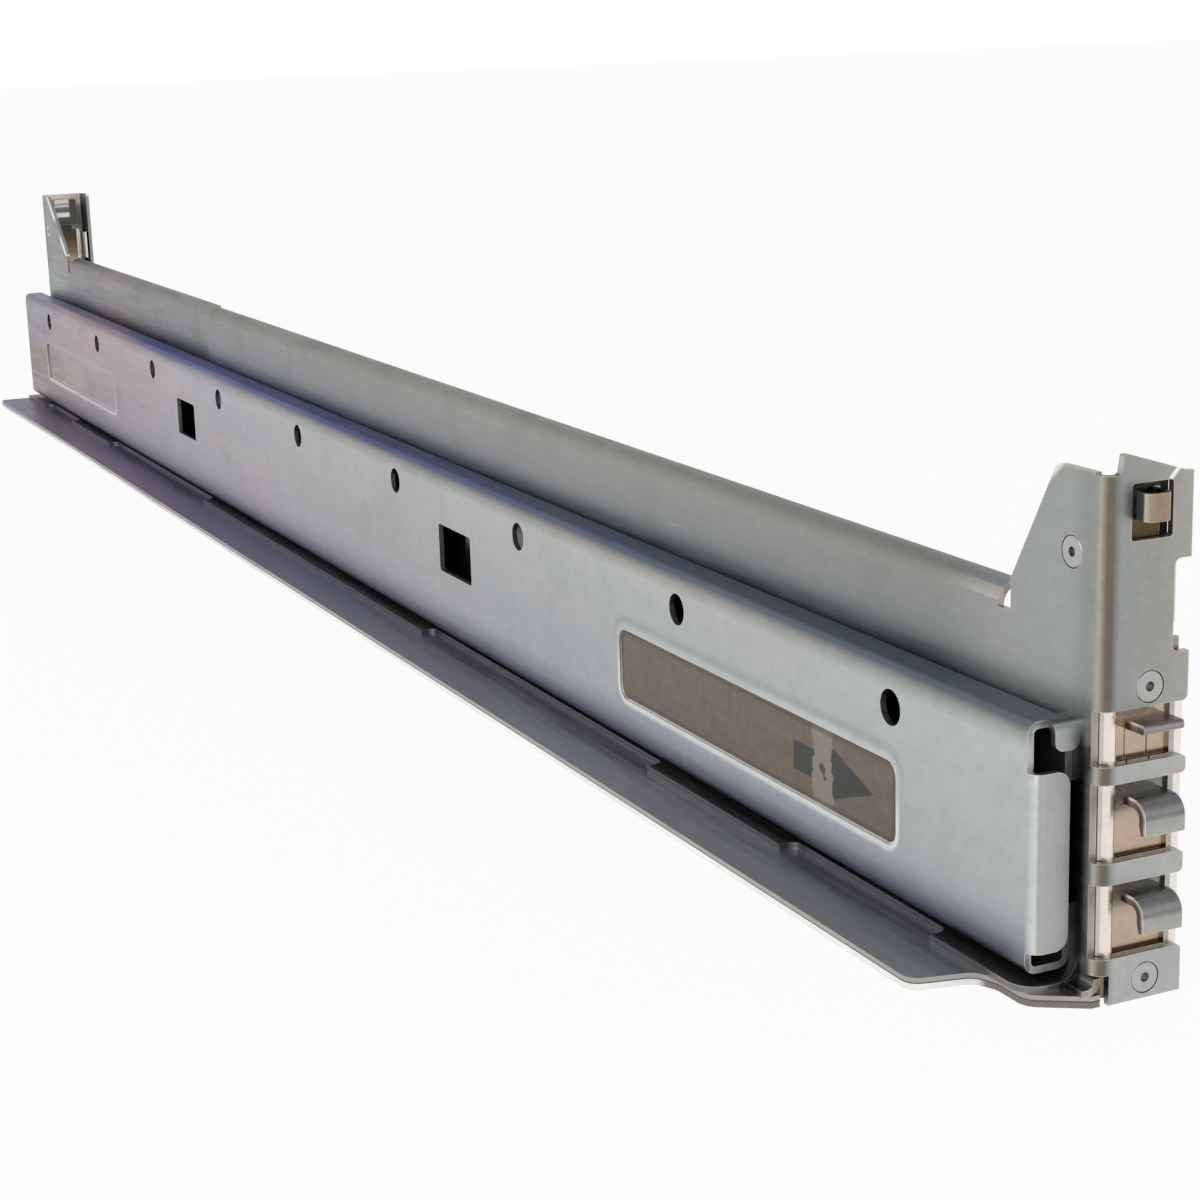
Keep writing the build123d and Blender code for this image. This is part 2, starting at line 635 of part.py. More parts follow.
def rear_bracket():
    """Rear end of the rear rail: side plate, flange and the return along its edge."""
    start_x = REAR_BRACKET_X + REAR_RELIEF_W
    flange_y = REAR_SKIN_Y + REAR_FLANGE_W
    points = ((start_x, REAR_SKIN_Y), (REAR_FACE_X, REAR_SKIN_Y), (REAR_FACE_X, flange_y),
              (REAR_FACE_X + REAR_RETURN, flange_y))
    shape = bent_section(Plane.XY, points, FLANGE_BEND_R, SHEET_T, Side.RIGHT)
    extrude(shape, amount=REAR_TOP)
    return start_x


def trim_rear_bracket(start_x):
    """Cuts the rear bracket to its slope, with the relief beside the long plate's lip."""
    rear_x = REAR_FACE_X - CUT_REACH
    top = REAR_TOP + CUT_REACH
    far_x = start_x + CUT_REACH
    points = ((rear_x, REAR_TOP), (REAR_FACE_X + REAR_BRACKET_TOP_LENGTH, REAR_TOP),
              (REAR_BRACKET_X, REAR_SLOPE_Z), (REAR_BRACKET_X, REAR_RELIEF_Z),
              (far_x, REAR_RELIEF_Z), (far_x, top), (rear_x, top))
    radii = (0, REAR_SLOPE_R, REAR_SLOPE_R, REAR_SLOPE_R, 0, 0, 0)
    shape = closed_outline(side_plane(0), points, radii)
    extrude(shape, amount=-CUT_REACH, mode=Mode.SUBTRACT)
    block((REAR_BRACKET_X, far_x), (0, CUT_REACH), (-CUT_REACH, REAR_LIP_Z), Mode.SUBTRACT)


def rear_long_plate(start_x):
    """C-shaped side plate: full height behind the front rail, lower where it slides in it."""
    step_x = FRONT_UPPER_END_X - REAR_STEP_GAP
    runs = ((start_x, step_x - REAR_STEP_W, PLATE_TOP, REAR_SKIN_Y + TOP_LIP_Y, TOP_BEND_R),
            (step_x, REAR_FRONT_X, REAR_PLATE_TOP, REAR_TOP_LIP_Y, REAR_BEND_R))
    for x0, x1, top, lip_y, bend_r in runs:
        points = ((REAR_LIP_Y, REAR_LIP_Z), (REAR_SKIN_Y, REAR_LIP_Z), (REAR_SKIN_Y, top),
                  (lip_y, top))
        shape = bent_section(Plane.YZ.offset(x0), points, (REAR_BEND_R, bend_r), SHEET_T, Side.RIGHT)
        extrude(shape, amount=x1 - x0)
    points = ((REAR_LIP_Y, REAR_LIP_Z), (REAR_SKIN_Y, REAR_LIP_Z), (REAR_SKIN_Y, REAR_RELIEF_Z))
    shape = bent_section(Plane.YZ.offset(step_x - REAR_STEP_W), points, REAR_BEND_R, SHEET_T,
                         Side.RIGHT)
    extrude(shape, amount=REAR_STEP_W)


def slide_slots():
    """Slots for the guide stud and the lock screw, each as long as the travel."""
    width = SHOULDER_D + 2 * SLOT_FIT
    with BuildSketch(side_plane(0)) as section:
        for rear_end in (GUIDE_X, LOCK_X):
            with Locations((rear_end + SLIDE_TRAVEL / 2, ACCESS_Z)):
                SlotCenterToCenter(SLIDE_TRAVEL, width)
    extrude(section.sketch, amount=-CUT_REACH, mode=Mode.SUBTRACT)


with BuildPart() as rear_rail:
    plate_start = rear_bracket()
    trim_rear_bracket(plate_start)
    rear_long_plate(plate_start)
    slide_slots()
    add(at_rear(hook_windows(REAR_WINDOW_END_Y)), mode=Mode.SUBTRACT)
    add(at_rear(latch_window()), mode=Mode.SUBTRACT)
    add(at_rear(rivet_holes()), mode=Mode.SUBTRACT)

with BuildPart() as rear_hook_plate:
    add(at_rear(front_hook_plate.part))
    narrow_y = REAR_SKIN_Y + HOOK_PLATE_REAR_W
    block((REAR_FACE_X - CUT_REACH, REAR_FACE_X + CUT_REACH), (narrow_y, narrow_y + CUT_REACH),
          (0, FLANGE_TOP), Mode.SUBTRACT)

with BuildPart() as rear_hook_rivets:
    add(at_rear(front_hook_rivets.part))

with BuildPart() as rear_latch_foot:
    add(at_rear(front_latch_foot.part))

with BuildPart() as rear_latch_rivet:
    add(at_rear(front_latch_rivet.part))

with BuildPart() as rear_latch_tongue:
    add(at_rear(front_latch_tongue.part))


with BuildPart() as guide_stud:
    rod((GUIDE_X, 0, ACCESS_Z), (0, -1, 0), STUD_HEAD_D, STUD_HEAD_H)
    rod((GUIDE_X, 0, ACCESS_Z), (0, 1, 0), STUD_NECK_D, SHEET_T)
    rod((GUIDE_X, SHEET_T, ACCESS_Z), (0, 1, 0), SHOULDER_D, WASHER_Y - SHEET_T)
    rod((GUIDE_X, WASHER_Y, ACCESS_Z), (0, 1, 0), STUD_TAIL_D, WASHER_T)
    rod((GUIDE_X, WASHER_Y + WASHER_T, ACCESS_Z), (0, 1, 0), STUD_TAIL_HEAD_D, STUD_TAIL_HEAD_H)

with BuildPart() as guide_washer:
    rod((GUIDE_X, WASHER_Y, ACCESS_Z), (0, 1, 0), WASHER_D, WASHER_T)
    rod((GUIDE_X, WASHER_Y, ACCESS_Z), (0, 1, 0), STUD_TAIL_D + 2 * RIVET_FIT, WASHER_T,
        Mode.SUBTRACT)

with BuildPart() as lock_bush:
    rod((LOCK_X, SHEET_T, ACCESS_Z), (0, 1, 0), SHOULDER_D, WASHER_Y - SHEET_T)
    rod((LOCK_X, SHEET_T, ACCESS_Z), (0, 1, 0), SCREW_D + 2 * SCREW_FIT, WASHER_Y - SHEET_T,
        Mode.SUBTRACT)

with BuildPart() as lock_washer:
    rod((LOCK_X, WASHER_Y, ACCESS_Z), (0, 1, 0), WASHER_D, WASHER_T)
    rod((LOCK_X, WASHER_Y, ACCESS_Z), (0, 1, 0), SCREW_D + 2 * SCREW_FIT, WASHER_T,
        Mode.SUBTRACT)

with BuildPart() as lock_nut:
    with BuildSketch(side_plane(WASHER_Y + WASHER_T)):
        with Locations((LOCK_X, ACCESS_Z)):
            RegularPolygon(NUT_FLATS / 2, 6, major_radius=False)
            Circle(SCREW_D / 2 + SCREW_FIT, mode=Mode.SUBTRACT)
    extrude(amount=-NUT_H)


def cross_drive(x):
    """Cross recess in the screw's head."""
    for width, height in ((SCREW_DRIVE_L, SCREW_DRIVE_W), (SCREW_DRIVE_W, SCREW_DRIVE_L)):
        half_w, half_h = width / 2, height / 2
        block((x - half_w, x + half_w), (-SCREW_HEAD_H, SCREW_DRIVE_H - SCREW_HEAD_H),
              (ACCESS_Z - half_h, ACCESS_Z + half_h), Mode.SUBTRACT)


with BuildPart() as lock_screw:
    rod((LOCK_X, 0, ACCESS_Z), (0, -1, 0), SCREW_HEAD_D, SCREW_HEAD_H)
    chamfer(lock_screw.faces().sort_by(Axis.Y)[0].edges(), SCREW_EDGE)
    rod((LOCK_X, 0, ACCESS_Z), (0, 1, 0), SCREW_D, WASHER_Y + WASHER_T + NUT_H + SCREW_END)
    cross_drive(LOCK_X)


NODES = {
    "front_rail": front_rail,
    "chassis_channel": chassis_channel,
    "support_ledge": support_ledge,
    "front_hook_plate": front_hook_plate,
    "front_hook_rivets": front_hook_rivets,
    "front_latch_foot": front_latch_foot,
    "front_latch_rivet": front_latch_rivet,
    "front_latch_tongue": front_latch_tongue,
    "guide_stud": guide_stud,
    "guide_washer": guide_washer,
    "lock_screw": lock_screw,
    "lock_bush": lock_bush,
    "lock_washer": lock_washer,
    "lock_nut": lock_nut,
    "rear_rail": rear_rail,
    "rear_hook_plate": rear_hook_plate,
    "rear_hook_rivets": rear_hook_rivets,
    "rear_latch_foot": rear_latch_foot,
    "rear_latch_rivet": rear_latch_rivet,
    "rear_latch_tongue": rear_latch_tongue,
}

for node_name, builder in NODES.items():
    builder.part.label = node_name
    export_step(builder.part, f"parts/{node_name}.step")
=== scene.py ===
"""Finish, label, small marks and studio for a sheet-metal rack mounting rail.

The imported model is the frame: +X runs to the front of the rack, +Y outboard and +Z up, in
metres. Every visible CAD piece keeps its shape here and gets a procedural finish.
"""
import math

import bpy
import numpy as np
from mathutils import Matrix, Vector


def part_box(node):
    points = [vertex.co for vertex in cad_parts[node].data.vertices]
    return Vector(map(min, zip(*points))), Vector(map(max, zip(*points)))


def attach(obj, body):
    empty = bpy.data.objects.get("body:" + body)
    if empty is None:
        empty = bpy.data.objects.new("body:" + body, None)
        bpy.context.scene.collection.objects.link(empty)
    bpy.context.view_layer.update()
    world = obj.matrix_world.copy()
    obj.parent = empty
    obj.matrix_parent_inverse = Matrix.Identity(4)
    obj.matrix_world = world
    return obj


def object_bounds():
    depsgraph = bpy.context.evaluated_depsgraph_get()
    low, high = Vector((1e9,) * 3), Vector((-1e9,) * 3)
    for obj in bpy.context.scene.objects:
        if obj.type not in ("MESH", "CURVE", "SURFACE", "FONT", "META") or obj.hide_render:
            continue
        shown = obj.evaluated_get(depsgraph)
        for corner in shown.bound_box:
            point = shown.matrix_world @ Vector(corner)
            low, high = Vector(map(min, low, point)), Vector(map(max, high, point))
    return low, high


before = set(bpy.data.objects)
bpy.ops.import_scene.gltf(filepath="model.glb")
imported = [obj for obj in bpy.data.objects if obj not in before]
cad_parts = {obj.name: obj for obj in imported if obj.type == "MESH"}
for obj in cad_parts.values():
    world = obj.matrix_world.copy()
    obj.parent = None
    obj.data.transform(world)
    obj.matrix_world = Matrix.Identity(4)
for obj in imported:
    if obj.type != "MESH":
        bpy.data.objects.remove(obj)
CAD_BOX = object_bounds()

bl_info = {
    "name": "Rack rail finish",
    "version": (1, 0, 0),
    "blender": (4, 5, 0),
    "location": "View3D > Sidebar > Rack rail",
    "description": "Plated finishes, direction label and studio for a rack mounting rail",
    "category": "Object",
}

MM = 0.001
FLOAT, VECTOR, COLOUR = "NodeSocketFloat", "NodeSocketVector", "NodeSocketColor"

# CAD nodes by finish; True marks those at the rear end
SHEET_NODES = {"front_rail": False, "rear_rail": True}
HOOK_NODES = {"front_hook_plate": False, "rear_hook_plate": True}
TONGUE_NODES = {"front_latch_tongue": False, "rear_latch_tongue": True}
FOOT_NODES = {"front_latch_foot": False, "rear_latch_foot": True}
RIVET_NODES = ("front_hook_rivets", "front_latch_rivet", "rear_hook_rivets", "rear_latch_rivet")
FASTENER_NODES = ("guide_stud", "guide_washer", "lock_screw", "lock_bush", "lock_washer",
                  "lock_nut")

# Faces of the frame that the finishes follow, in metres
WEB_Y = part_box("chassis_channel")[0][1]
REAR_FACE_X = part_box("rear_rail")[0][0]
REAR_SKIN_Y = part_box("rear_rail")[0][1]
LEDGE_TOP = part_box("support_ledge")[1][2]

# Fields coined into the channel's web: centre, half size and corner radius, in metres
LABEL_FIELD = ((-99.0 * MM, 21.5 * MM), (54.0 * MM, 7.6 * MM), 3.0 * MM)
REAR_FIELD = ((-635.0 * MM, 22.3 * MM), (55.0 * MM, 7.0 * MM), 3.0 * MM)
LABEL_DEPTH = 0.4 * MM

# Hooks, lip and pockets over the height of a flange, in millimetres
HOOK_STEP = 15.875
HOOK_TOP = 81.73
LIP_TOP = 46.25
HOOK_BEND = 3.0
POCKET_FOOT = 8.0
POCKET_STEP = 15.75

# Soft oval mark on the ledge: centre and half size along and across, in millimetres
LEDGE_MARK = ((-535.0, -12.5), (23.0, 2.6))

# Plate behind a latch window, from the flange's face and the side plate's skin
BACKING_CENTRE = (9.0 * MM, 78.6 * MM)
BACKING_HALF = (4.5 * MM, 5.2 * MM)
BACKING_DEPTHS = (-2.95 * MM, -2.45 * MM)

# Camera of the photograph, fitted to points on the rail: place, and heading, pitch, roll
CAMERA_PLACE = (285.7 * MM, -214.2 * MM, 154.0 * MM)
CAMERA_DEGREES = (65.3, 13.81, 1.77)
CAMERA_LENS = 72.2

# Shares of the zinc colour over the height of the channel, from the bottom flange upwards
# Painted shade on the bottom bend, a painted highlight below the top bend, painted shade and a
# painted dark reflection above it
CHANNEL_BANDS = (
    (4.6, (0.15, 0.15, 0.20)), (6.6, (0.32, 0.32, 0.41)), (9.2, (0.72, 0.75, 0.88)),
    (13.0, (0.90, 0.90, 0.94)), (21.0, (0.85, 0.85, 0.86)), (34.0, (0.90, 0.91, 0.90)),
    (41.6, (0.96, 0.97, 0.94)), (43.6, (0.66, 0.67, 0.62)), (44.9, (0.46, 0.47, 0.44)),
    (45.5, (0.20, 0.29, 0.36)), (46.0, (0.19, 0.29, 0.37)))
# Shares along the channel: neutral in front, rose at the rear end
CHANNEL_RUN = (
    (-724.0, (0.47, 0.345, 0.335)), (-640.0, (0.60, 0.49, 0.50)), (-560.0, (0.70, 0.59, 0.61)),
    (-480.0, (0.79, 0.71, 0.735)), (-300.0, (0.79, 0.80, 0.81)), (-120.0, (0.86, 0.90, 0.90)),
    (-5.0, (0.93, 0.96, 0.95)))
# Channel's top flange from the rear end to the front
# Painted dark reflection: the upward top flange painted dark blue, as the dim room overhead shows
# in it
TOP_FLANGE_RUN = (
    (-724.0, (0.12, 0.15, 0.27)), (-650.0, (0.05, 0.105, 0.33)), (-520.0, (0.035, 0.08, 0.36)),
    (-330.0, (0.06, 0.10, 0.31)), (-120.0, (0.13, 0.185, 0.26)), (-60.0, (0.145, 0.205, 0.25)),
    (-5.0, (0.22, 0.25, 0.26)))
# Inboard skin of the long side plates, from behind the channel up to the top bend
# Painted shade where the plate meets the channel's top, and a painted highlight on the top bend
PLATE_BANDS = (
    (3.2, (0.52, 0.52, 0.53)), (40.0, (0.52, 0.52, 0.53)), (43.5, (0.26, 0.28, 0.31)),
    (46.5, (0.40, 0.41, 0.43)), (50.5, (0.48, 0.49, 0.50)), (55.0, (0.50, 0.51, 0.51)),
    (59.0, (0.53, 0.53, 0.51)), (61.2, (0.63, 0.61, 0.54)), (62.6, (0.56, 0.55, 0.50)),
    (63.1, (0.52, 0.51, 0.45)))
PLATE_RUN = (
    (-723.0, (0.58, 0.565, 0.60)), (-480.0, (0.80, 0.80, 0.82)), (-200.0, (1.0, 1.0, 0.99)),
    (0.0, (0.90, 0.93, 0.92)))
# Round the bend from the side plate to the flange, in millimetres from the bend's start
# Painted highlight on the bend, then a painted dark brown reflection, then the flange
BEND_RUN = (
    (-22.0, (0.60, 0.62, 0.61)), (-6.0, (0.62, 0.65, 0.63)), (-1.5, (0.51, 0.53, 0.51)),
    (0.4, (0.56, 0.56, 0.51)), (1.5, (0.72, 0.69, 0.60)), (2.2, (0.52, 0.46, 0.37)),
    (3.0, (0.30, 0.26, 0.20)), (4.2, (0.27, 0.24, 0.19)), (4.7, (0.36, 0.36, 0.35)),
    (5.6, (0.53, 0.56, 0.57)), (8.5, (0.57, 0.57, 0.55)), (12.5, (0.57, 0.57, 0.54)),
    (18.8, (0.66, 0.64, 0.58)))
# Back of a flange, upwards past the hook plate
# Painted light and shade: tan, then dark, then tan at the top
FLANGE_BACK_RUN = (
    (56.0, (0.30, 0.30, 0.29)), (66.0, (0.46, 0.42, 0.34)), (74.0, (0.10, 0.105, 0.12)),
    (80.8, (0.13, 0.135, 0.15)), (82.4, (0.60, 0.52, 0.43)), (86.5, (0.62, 0.54, 0.45)))
# Ledge from the rear end to the front
LEDGE_RUN = (
    (-728.0, (0.35, 0.28, 0.38)), (-560.0, (0.38, 0.29, 0.44)),
    (-330.0, (0.31, 0.32, 0.43)), (-120.0, (0.50, 0.49, 0.53)),
    (-20.0, (0.48, 0.50, 0.52)), (-11.0, (0.46, 0.45, 0.40)), (0.0, (0.36, 0.33, 0.28)))
# Pocket floors of the hook plate over one step of the windows
# Painted shade along each window's foot and under the hook above it
POCKET_RUN = (
    (0.0, (0.13, 0.06, 0.035)), (0.5, (0.15, 0.08, 0.05)), (0.8, (0.50, 0.38, 0.28)),
    (8.2, (0.52, 0.42, 0.33)), (9.4, (0.27, 0.26, 0.23)), (12.4, (0.20, 0.19, 0.17)))
# Hooks from the top skin down to the tip, and inwards across the sheared side
# Painted shade on the hook's top and round its bend, painted light on the lip
HOOK_RUN = (
    (0.0, (0.30, 0.29, 0.29)), (1.6, (0.34, 0.33, 0.33)), (2.5, (0.22, 0.21, 0.21)),
    (3.2, (0.38, 0.39, 0.35)), (5.4, (0.42, 0.42, 0.37)))
# Painted highlight along the side's top edge, painted shade below it
HOOK_SIDE_RUN = (
    (0.0, (0.97, 0.95, 0.92)), (0.32, (0.92, 0.88, 0.82)), (0.55, (0.28, 0.26, 0.24)),
    (1.0, (0.24, 0.15, 0.12)), (1.5, (0.12, 0.15, 0.18)))
# Latch nose from its root forward, and the tongue over its height, in front and behind
# Painted highlight and painted shade round the nose's bend, tan on its face
NOSE_RUN = (
    (-1.2, (0.10, 0.09, 0.07)), (-0.3, (0.80, 0.80, 0.76)), (0.5, (0.11, 0.11, 0.11)),
    (1.9, (0.12, 0.12, 0.125)), (2.5, (0.55, 0.46, 0.38)), (3.2, (0.36, 0.30, 0.23)),
    (3.6, (0.33, 0.24, 0.16)))
# Painted brown shade on the tongue behind the window
TONGUE_RUN = (
    (58.0, (0.36, 0.39, 0.41)), (71.0, (0.40, 0.43, 0.46)), (72.6, (0.16, 0.19, 0.21)),
    (74.6, (0.09, 0.065, 0.030)), (77.6, (0.12, 0.085, 0.040)), (82.0, (0.20, 0.20, 0.19)))
# Painted shade down the tongue's back, deepening upwards
TONGUE_BACK_RUN = (
    (58.0, (0.38, 0.32, 0.20)), (62.0, (0.17, 0.13, 0.07)), (68.0, (0.07, 0.05, 0.03)),
    (72.0, (0.04, 0.04, 0.04)), (82.0, (0.05, 0.05, 0.05)))
FOOT_RUN = (
    (55.0, (0.36, 0.33, 0.27)), (64.0, (0.30, 0.25, 0.16)), (71.0, (0.17, 0.14, 0.10)),
    (76.5, (0.50, 0.46, 0.38)))
# Backs of the latch backings from the window's foot upwards
# Painted shade with painted highlight lines: a pale one, a blue-white one, and tan at the top
BACKING_RUN = (
    (73.0, (0.05, 0.045, 0.04)), (76.4, (0.10, 0.09, 0.08)), (77.0, (0.72, 0.67, 0.61)),
    (78.2, (0.60, 0.58, 0.56)), (78.8, (0.10, 0.11, 0.13)), (80.5, (0.14, 0.16, 0.19)),
    (80.9, (0.46, 0.53, 0.58)), (81.5, (0.38, 0.44, 0.48)), (81.9, (0.24, 0.21, 0.18)),
    (82.4, (0.60, 0.52, 0.43)), (84.0, (0.62, 0.54, 0.45)))


def colour_value(name, description, default):
    """Colour setting."""
    return bpy.props.FloatVectorProperty(name=name, description=description, default=default,
                                         subtype="COLOR", size=3, min=0.0, max=1.0)


def length_value(name, description, default, **limits):
    """Length setting, in metres."""
    return bpy.props.FloatProperty(name=name, description=description, default=default,
                                   subtype="DISTANCE", unit="LENGTH", **limits)


def number_value(name, description, default, **limits):
    """Plain number setting."""
    return bpy.props.FloatProperty(name=name, description=description, default=default, **limits)


class RailFinish(bpy.types.PropertyGroup):
    """Colours and grain of the plated sheets and the bright fittings."""

    zinc: colour_value("Zinc", "Plated colour where it is brightest", (0.61, 0.615, 0.605))
    blue: colour_value("Blue cast", "Cool interference colour of the plating",
                       (0.30, 0.33, 0.44))
    rose: colour_value("Rose cast", "Warm interference colour of the plating",
                       (0.48, 0.32, 0.33))
    cut_edge: colour_value("Cut edge", "Bare metal on sheared edges", (0.70, 0.64, 0.54))
    nickel: colour_value("Nickel", "Plain surface of hooks and spring strip",
                         (0.44, 0.43, 0.41))
    # Painted highlight along the hook plate's bend, given as this bright strip colour
    strip: colour_value("Bright strip", "Polished strip along the hook plate's bend",
                        (0.85, 0.78, 0.69))
    grain: number_value("Grain", "Rolling grain per metre across the sheet", 900.0,
                        min=50.0, max=4000.0)
    cast: number_value("Colour cast", "Share of the interference colours", 0.62,
                       min=0.0, max=1.0)
    # Bare metal along the edges: partly real wear, partly a painted highlight along them
    wear: number_value("Edge wear", "Share of bare metal along the edges", 0.75,
                       min=0.0, max=1.0)


class RailLabel(bpy.types.PropertyGroup):
    """Direction label with a plain arrow."""

    field: colour_value("Field", "Satin label ground", (0.172, 0.138, 0.098))
    print: colour_value("Arrow", "Printed arrow", (0.048, 0.047, 0.040))
    tip_x: length_value("Arrow tip", "Place of the arrow's tip along the rail", -52.6 * MM)
    head: length_value("Head length", "Length of the arrow's head", 18.6 * MM, min=0.001)
    shaft: length_value("Shaft length", "Length of the arrow's shaft", 9.2 * MM, min=0.001)
    half: length_value("Half head", "Half the width of the arrow's head", 6.4 * MM, min=0.001)


class RailStage(bpy.types.PropertyGroup):
    """Floor, lamps and camera."""

    floor: colour_value("Floor", "Pale studio floor", (0.95, 0.95, 0.95))
    key_power: number_value("Key lamp", "Power of the large side lamp in watts", 5.0, min=0.0)
    fill_power: number_value("Fill lamp", "Power of the front lamp in watts", 2.2, min=0.0)
    sky: number_value("Sky", "Strength of the surrounding studio", 0.82, min=0.0)


def node_object(name):
    """The CAD node's object in the scene."""
    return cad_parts[name]


def make_group(name, inputs, outputs):
    """Shader group with named sockets; returns it, what it is given and what it hands on."""
    group = bpy.data.node_groups.new(name, "ShaderNodeTree")
    for label, kind, value in inputs:
        socket = group.interface.new_socket(name=label, in_out="INPUT", socket_type=kind)
        if value is not None:
            socket.default_value = value
    for label, kind in outputs:
        group.interface.new_socket(name=label, in_out="OUTPUT", socket_type=kind)
    entry, exit_node = (group.nodes.new(f"NodeGroup{end}") for end in ("Input", "Output"))
    return group, entry.outputs, exit_node.inputs


def preset(node, values):
    """Sets a node's inputs by name."""
    for name, value in values.items():
        node.inputs[name].default_value = value


def math_node(tree, operation, first, second=None, clamp=False):
    """Math node fed by sockets or numbers; returns its output."""
    node = tree.nodes.new("ShaderNodeMath")
    node.operation = operation
    node.use_clamp = clamp
    for slot, value in enumerate((first, second)):
        if value is None:
            continue
        if isinstance(value, (int, float)):
            node.inputs[slot].default_value = value
        else:
            tree.links.new(value, node.inputs[slot])
    return node.outputs[0]


def times(tree, *values):
    """Product of sockets and numbers, the first of them a socket."""
    result = values[0]
    for value in values[1:]:
        result = math_node(tree, "MULTIPLY", result, value)
    return result


def minus(tree, first, second):
    """Difference of sockets or numbers."""
    return math_node(tree, "SUBTRACT", first, second)


def larger(tree, first, second):
    """The larger of two sockets or numbers."""
    return math_node(tree, "MAXIMUM", first, second)


def span_node(tree, value, low, high, out_low=0.0, out_high=1.0):
    """Smooth map of a value from one span to another, held at both ends."""
    node = tree.nodes.new("ShaderNodeMapRange")
    node.interpolation_type = "SMOOTHSTEP"
    preset(node, {"From Min": low, "From Max": high, "To Min": out_low, "To Max": out_high})
    tree.links.new(value, node.inputs["Value"])
    return node.outputs["Result"]


def mix_colour(tree, factor, first, second, blend="MIX"):
    """Colour mix fed by sockets or colours; returns its output."""
    node = tree.nodes.new("ShaderNodeMix")
    node.data_type = "RGBA"
    node.blend_type = blend
    for name, value in (("Factor", factor), ("A", first), ("B", second)):
        index = {"Factor": 0, "A": 6, "B": 7}[name]
        if hasattr(value, "is_linked"):
            tree.links.new(value, node.inputs[index])
        elif isinstance(value, (int, float)):
            node.inputs[index].default_value = value
        else:
            node.inputs[index].default_value = (*value[:3], 1.0)
    return node.outputs[2]


def scaled_vector(tree, vector, scale, turn=0.0):
    """Vector stretched per axis and turned about Y, as a Mapping node does it."""
    node = tree.nodes.new("ShaderNodeMapping")
    preset(node, {"Scale": scale, "Rotation": (0.0, turn, 0.0)})
    tree.links.new(vector, node.inputs["Vector"])
    return node.outputs["Vector"]


def split(tree, vector):
    """X, Y and Z of a vector, by name."""
    node = tree.nodes.new("ShaderNodeSeparateXYZ")
    tree.links.new(vector, node.inputs["Vector"])
    return node.outputs


def noise_node(tree, vector, scale, detail=3.0, roughness=0.5):
    """Noise value at a vector."""
    node = tree.nodes.new("ShaderNodeTexNoise")
    preset(node, {"Scale": scale, "Detail": detail, "Roughness": roughness})
    tree.links.new(vector, node.inputs["Vector"])
    return node.outputs["Fac"]


def rolling_grain_group():
    """Fine streaks along the rolling direction, from noise stretched along X."""
    group, given, result = make_group(
        "rolling_grain", (("Vector", VECTOR, None), ("Fineness", FLOAT, 900.0)),
        (("Streaks", FLOAT), ("Mottle", FLOAT)))
    stretched = scaled_vector(group, given["Vector"], (0.035, 1.0, 1.0))
    streaks = group.nodes.new("ShaderNodeTexNoise")
    streaks.inputs["Detail"].default_value = 4.0
    group.links.new(stretched, streaks.inputs["Vector"])
    group.links.new(given["Fineness"], streaks.inputs["Scale"])
    mottle = noise_node(group, given["Vector"], 420.0, 5.0, 0.62)
    group.links.new(streaks.outputs["Fac"], result["Streaks"])
    group.links.new(mottle, result["Mottle"])
    return group


def interference_group():
    """Plating colour: the base drifts to blue in bands and to rose towards the rear."""
    group, given, result = make_group(
        "interference_cast",
        (("Vector", VECTOR, None), ("Base", COLOUR, None), ("Blue", COLOUR, None),
         ("Rose", COLOUR, None), ("Share", FLOAT, 0.5)), (("Color", COLOUR),))
    rearward = span_node(group, split(group, given["Vector"])["X"], -0.25, -0.70, 0.18, 1.0)
    long_bands = scaled_vector(group, given["Vector"], (5.0, 40.0, 55.0), 0.05)
    bands = span_node(group, noise_node(group, long_bands, 1.0, 3.0), 0.42, 0.66)
    patches = scaled_vector(group, given["Vector"], (9.0, 30.0, 30.0))
    clouds = span_node(group, noise_node(group, patches, 1.0, 2.0), 0.45, 0.70)
    share = times(group, given["Share"], rearward)
    blue_part = times(group, bands, share)
    rose_part = times(group, clouds, share)
    blued = mix_colour(group, blue_part, given["Base"], given["Blue"])
    rosed = mix_colour(group, rose_part, blued, given["Rose"])
    group.links.new(rosed, result["Color"])
    return group


def handling_group():
    """Handling marks: short fine scratches in two directions and a few soft smudges."""
    group, given, result = make_group(
        "handling_marks", (("Vector", VECTOR, None), ("Density", FLOAT, 0.5)),
        (("Scratches", FLOAT), ("Smudges", FLOAT)))
    lines = None
    for turn, scale in ((0.45, (60.0, 900.0, 2600.0)), (-0.9, (80.0, 900.0, 3200.0))):
        turned = scaled_vector(group, given["Vector"], scale, turn)
        line = span_node(group, noise_node(group, turned, 1.0, 1.0), 0.70, 0.76)
        lines = line if lines is None else larger(group, lines, line)
    where = span_node(group, noise_node(group, given["Vector"], 38.0, 2.0), 0.50, 0.62)
    thinned = times(group, lines, where)
    dosed = math_node(group, "MULTIPLY", thinned, given["Density"], True)
    smudges = span_node(group, noise_node(group, given["Vector"], 55.0, 4.0), 0.48, 0.72)
    group.links.new(dosed, result["Scratches"])
    group.links.new(smudges, result["Smudges"])
    return group


def flange_place_group():
    """Place in millimetres from a flange's face, and the place along the whole rail."""
    group, given, result = make_group(
        "flange_place",
        (("Vector", VECTOR, None), ("Face X", FLOAT, 0.0), ("Skin Y", FLOAT, 0.0),
         ("Turn", FLOAT, 1.0)),
        (("Forward", FLOAT), ("Outboard", FLOAT), ("Up", FLOAT), ("Along", FLOAT)))
    parts = split(group, given["Vector"])
    past = minus(group, parts["X"], given["Face X"])
    turned = times(group, past, given["Turn"])
    out = minus(group, parts["Y"], given["Skin Y"])
    for value, name in ((turned, "Forward"), (out, "Outboard"), (parts["Z"], "Up"),
                        (parts["X"], "Along")):
        group.links.new(math_node(group, "DIVIDE", value, MM), result[name])
    return group


